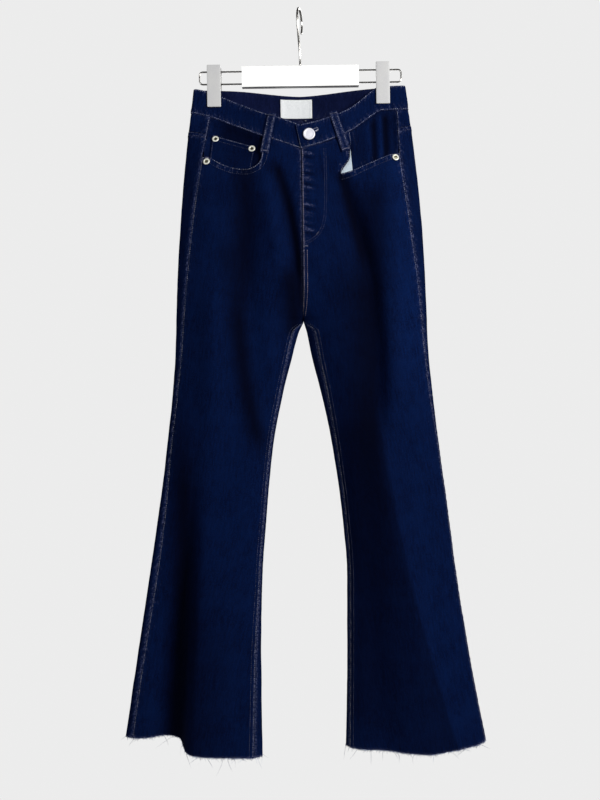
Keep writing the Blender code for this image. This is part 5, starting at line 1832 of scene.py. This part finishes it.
# Sides of a rounded corner and the angle at which it starts
QUARTERS = ((1, 1, 0), (-1, 1, 90), (-1, -1, 180), (1, -1, 270))


def loop_points():
    """The long closed wire loop that carries the clips."""
    middle = (LOOP_TOP + LOOP_BOTTOM) / 2
    half_height = (LOOP_TOP - LOOP_BOTTOM) / 2
    points = []
    for corner_x, corner_z, start in QUARTERS:
        for step in range(9):
            angle = math.radians(start + step * 11.25)
            x = corner_x * (LOOP_HALF_WIDTH - LOOP_CORNER) + LOOP_CORNER * math.cos(angle)
            z = middle + corner_z * (half_height - LOOP_CORNER) + LOOP_CORNER * math.sin(angle)
            points.append((x, 0.0, z))
    return points


def rounded_plate(made, x_low, x_high, z_low, z_high, y_front, thick, corner, crown):
    """A pressed plate with round corners and a soft crown, its face towards the front."""
    wide, tall = (x_high - x_low) / 2, (z_high - z_low) / 2
    outline = []
    for corner_x, corner_z, start in QUARTERS:
        for k in range(6):
            angle = math.radians(start + 18 * k)
            outline.append((corner_x * (wide - corner) + corner * math.cos(angle),
                            corner_z * (tall - corner) + corner * math.sin(angle)))
    rings = []
    levels = ((1.0, thick), (1.0, 0.45), (0.985, 0.12), (0.955, 0.0), (0.8, -crown * 0.6), (0.5, -crown))
    middle_x, middle_z = (x_low + x_high) / 2, (z_low + z_high) / 2
    for share, depth in levels:
        ring = []
        for x, z in outline:
            inset_z = z - math.copysign(min(abs(z), (1 - share) * wide), z)
            place = (middle_x + x * share, y_front + depth, middle_z + inset_z)
            ring.append(made.verts.new(Vector(place) * MM))
        rings.append(ring)
    for low, high in zip(rings, rings[1:]):
        join_rings(made, low, high)
    made.faces.new(rings[-1])
    made.faces.new(list(reversed(rings[0])))


def clip(side):
    """Two pressed jaws that pinch the waistband, and the spring between the wires that joins them."""
    name = "clip_" + SIDE_NAMES[side]
    x = CLIP_X[side]
    near = FLAT_HALF_THICKNESS + BAND_PROUD + LAYER_GAP
    half = CLIP_WIDTH / 2
    top, bottom = CLIP_TOP[side], CLIP_BOTTOM[side]
    face = -near - JAW_THICKNESS + 0.25
    for word, shift, lower, turn in (("front", 0, 0, 1), ("back", 1, 2, -1)):
        made = bmesh.new()
        rounded_plate(made, x - half + shift, x + half + shift, bottom, top - lower, face,
                      JAW_THICKNESS - 0.3, 1.3, 0.22)
        for vertex in made.verts:
            vertex.co.y = turn * vertex.co.y
        plate = mesh_piece("%s_%s_plate" % (name, word), made, CLIP)
        keep(plate, "clip_grey", "%s_%s_jaw" % (name, word))
    coil = []
    wire, radius, length = 1.1, 2.5, 11.2
    turns, steps = 6, 18
    middle = (LOOP_TOP + LOOP_BOTTOM) / 2
    for k in range(turns * steps + 1):
        angle = 2 * math.pi * k / steps
        along = x - length / 2 + length * k / (turns * steps)
        coil.append((along, radius * math.cos(angle), middle + radius * math.sin(angle)))
    made = bmesh.new()
    wire_piece(None, coil, wire, SPRING, sides=10, made=made)
    for turn in (-1, 1):
        leg = [(x + 6.4 * turn, 0.0, middle + rise) for rise in (-6.2, 0.0, 6.2)]
        wire_piece(None, smooth_line(leg, 12), wire, SPRING, sides=10, made=made)
    keep(mesh_piece(name + "_spring_coil", made, SPRING), "hanger_steel", name + "_spring")


def hanger():
    hook = wire_piece("hook_wire", smooth_line(hook_points(), 150), HOOK_WIRE, STEEL, sides=24)
    keep(hook, "hanger_steel", "hanger_hook")
    loop = wire_piece("loop_wire", loop_points(), LOOP_WIRE, STEEL, closed=True)
    keep(loop, "hanger_steel", "hanger_loop")
    for slot in bpy.data.objects["hanger_sleeve"].material_slots:
        slot.material = WHITE


def light(name, place, aim, width, height, power, colour):
    data = bpy.data.lights.new(name, "AREA")
    data.shape = "RECTANGLE"
    data.size = width
    data.size_y = height
    data.energy = power
    data.color = colour
    item = placed(name, data)
    item.location = place
    item.rotation_euler = (Vector(aim) - Vector(place)).to_track_quat("-Z", "Y").to_euler()
    item.visible_camera = False


def studio():
    """A pale floor far below, a pale room, and soft lamps with the strongest from the right and in front."""
    made = bmesh.new()
    bmesh.ops.create_circle(made, cap_ends=True, segments=96, radius=FLOOR_RADIUS)
    mesh = bpy.data.meshes.new("floor")
    made.to_mesh(mesh)
    made.free()
    mesh.materials.append(plain_finish("floor_paint", rgb(0.80, 0.80, 0.79), rgb(0.76, 0.76, 0.75), 0.6))
    floor = placed("floor", mesh)
    floor.location = (0, 0, FLOOR_HEIGHT)
    world = bpy.data.worlds.new("room")
    bpy.context.scene.world = world
    world.use_nodes = True
    tree = world.node_tree
    shade = tree.nodes["Background"]
    shade.inputs["Color"].default_value = rgb(1.0, 1.0, 1.0)
    seen = tree.nodes.new("ShaderNodeLightPath")
    strength = tree.nodes.new("ShaderNodeMapRange")
    strength.inputs["To Min"].default_value = ROOM_LIGHT
    strength.inputs["To Max"].default_value = ROOM_SEEN
    tree.links.new(seen.outputs["Is Camera Ray"], strength.inputs["Value"])
    tree.links.new(strength.outputs["Result"], shade.inputs["Strength"])
    light("key", (1.55, -1.55, 0.05), (0.0, 0.0, -0.60), 0.9, 0.9, 80, (1.0, 0.99, 0.97))
    light("fill", (-1.7, -1.7, 0.0), (0.0, 0.0, -0.6), 1.2, 1.2, 26, (0.96, 0.98, 1.0))
    light("behind", (0.4, 1.8, 0.4), (0.0, 0.0, -0.6), 1.4, 1.4, 30, (1.0, 1.0, 1.0))


# The photo's view in metres: its middle, how far the camera stands back, and half the height that it sees
VIEW_CENTRE = (-0.0075, -0.6034)
VIEW_DISTANCE = 1.22
VIEW_HALF_HEIGHT = 0.62
VIEW_ROLL = math.radians(-0.8)


def camera():
    data = bpy.data.cameras.new("photo_view")
    data.sensor_fit = "VERTICAL"
    data.angle = 2 * math.atan(VIEW_HALF_HEIGHT / VIEW_DISTANCE)
    item = placed("photo_view", data)
    item.location = (VIEW_CENTRE[0], -VIEW_DISTANCE, VIEW_CENTRE[1])
    item.rotation_euler = Vector((0, 1, 0)).to_track_quat("-Z", "Y").to_euler()
    item.rotation_euler.rotate_axis("Z", VIEW_ROLL)
    bpy.context.scene.camera = item


def main():
    camera()
    studio()
    for side in (-1, 1):
        front_panel(side)
        back_panel(side)
        yoke(side)
        pocket_facing(side)
        back_pocket(side)
        fray(side)
        clip(side)
    waistband()
    fly_underlap()
    pocket_lining()
    coin_pocket()
    belt_loops()
    waist_label()
    sew_legs()
    sew_centre()
    sew_pockets()
    sew_waistband()
    sew_loops()
    trims()
    hanger()
    bpy.context.scene.view_settings.view_transform = "Standard"


main()
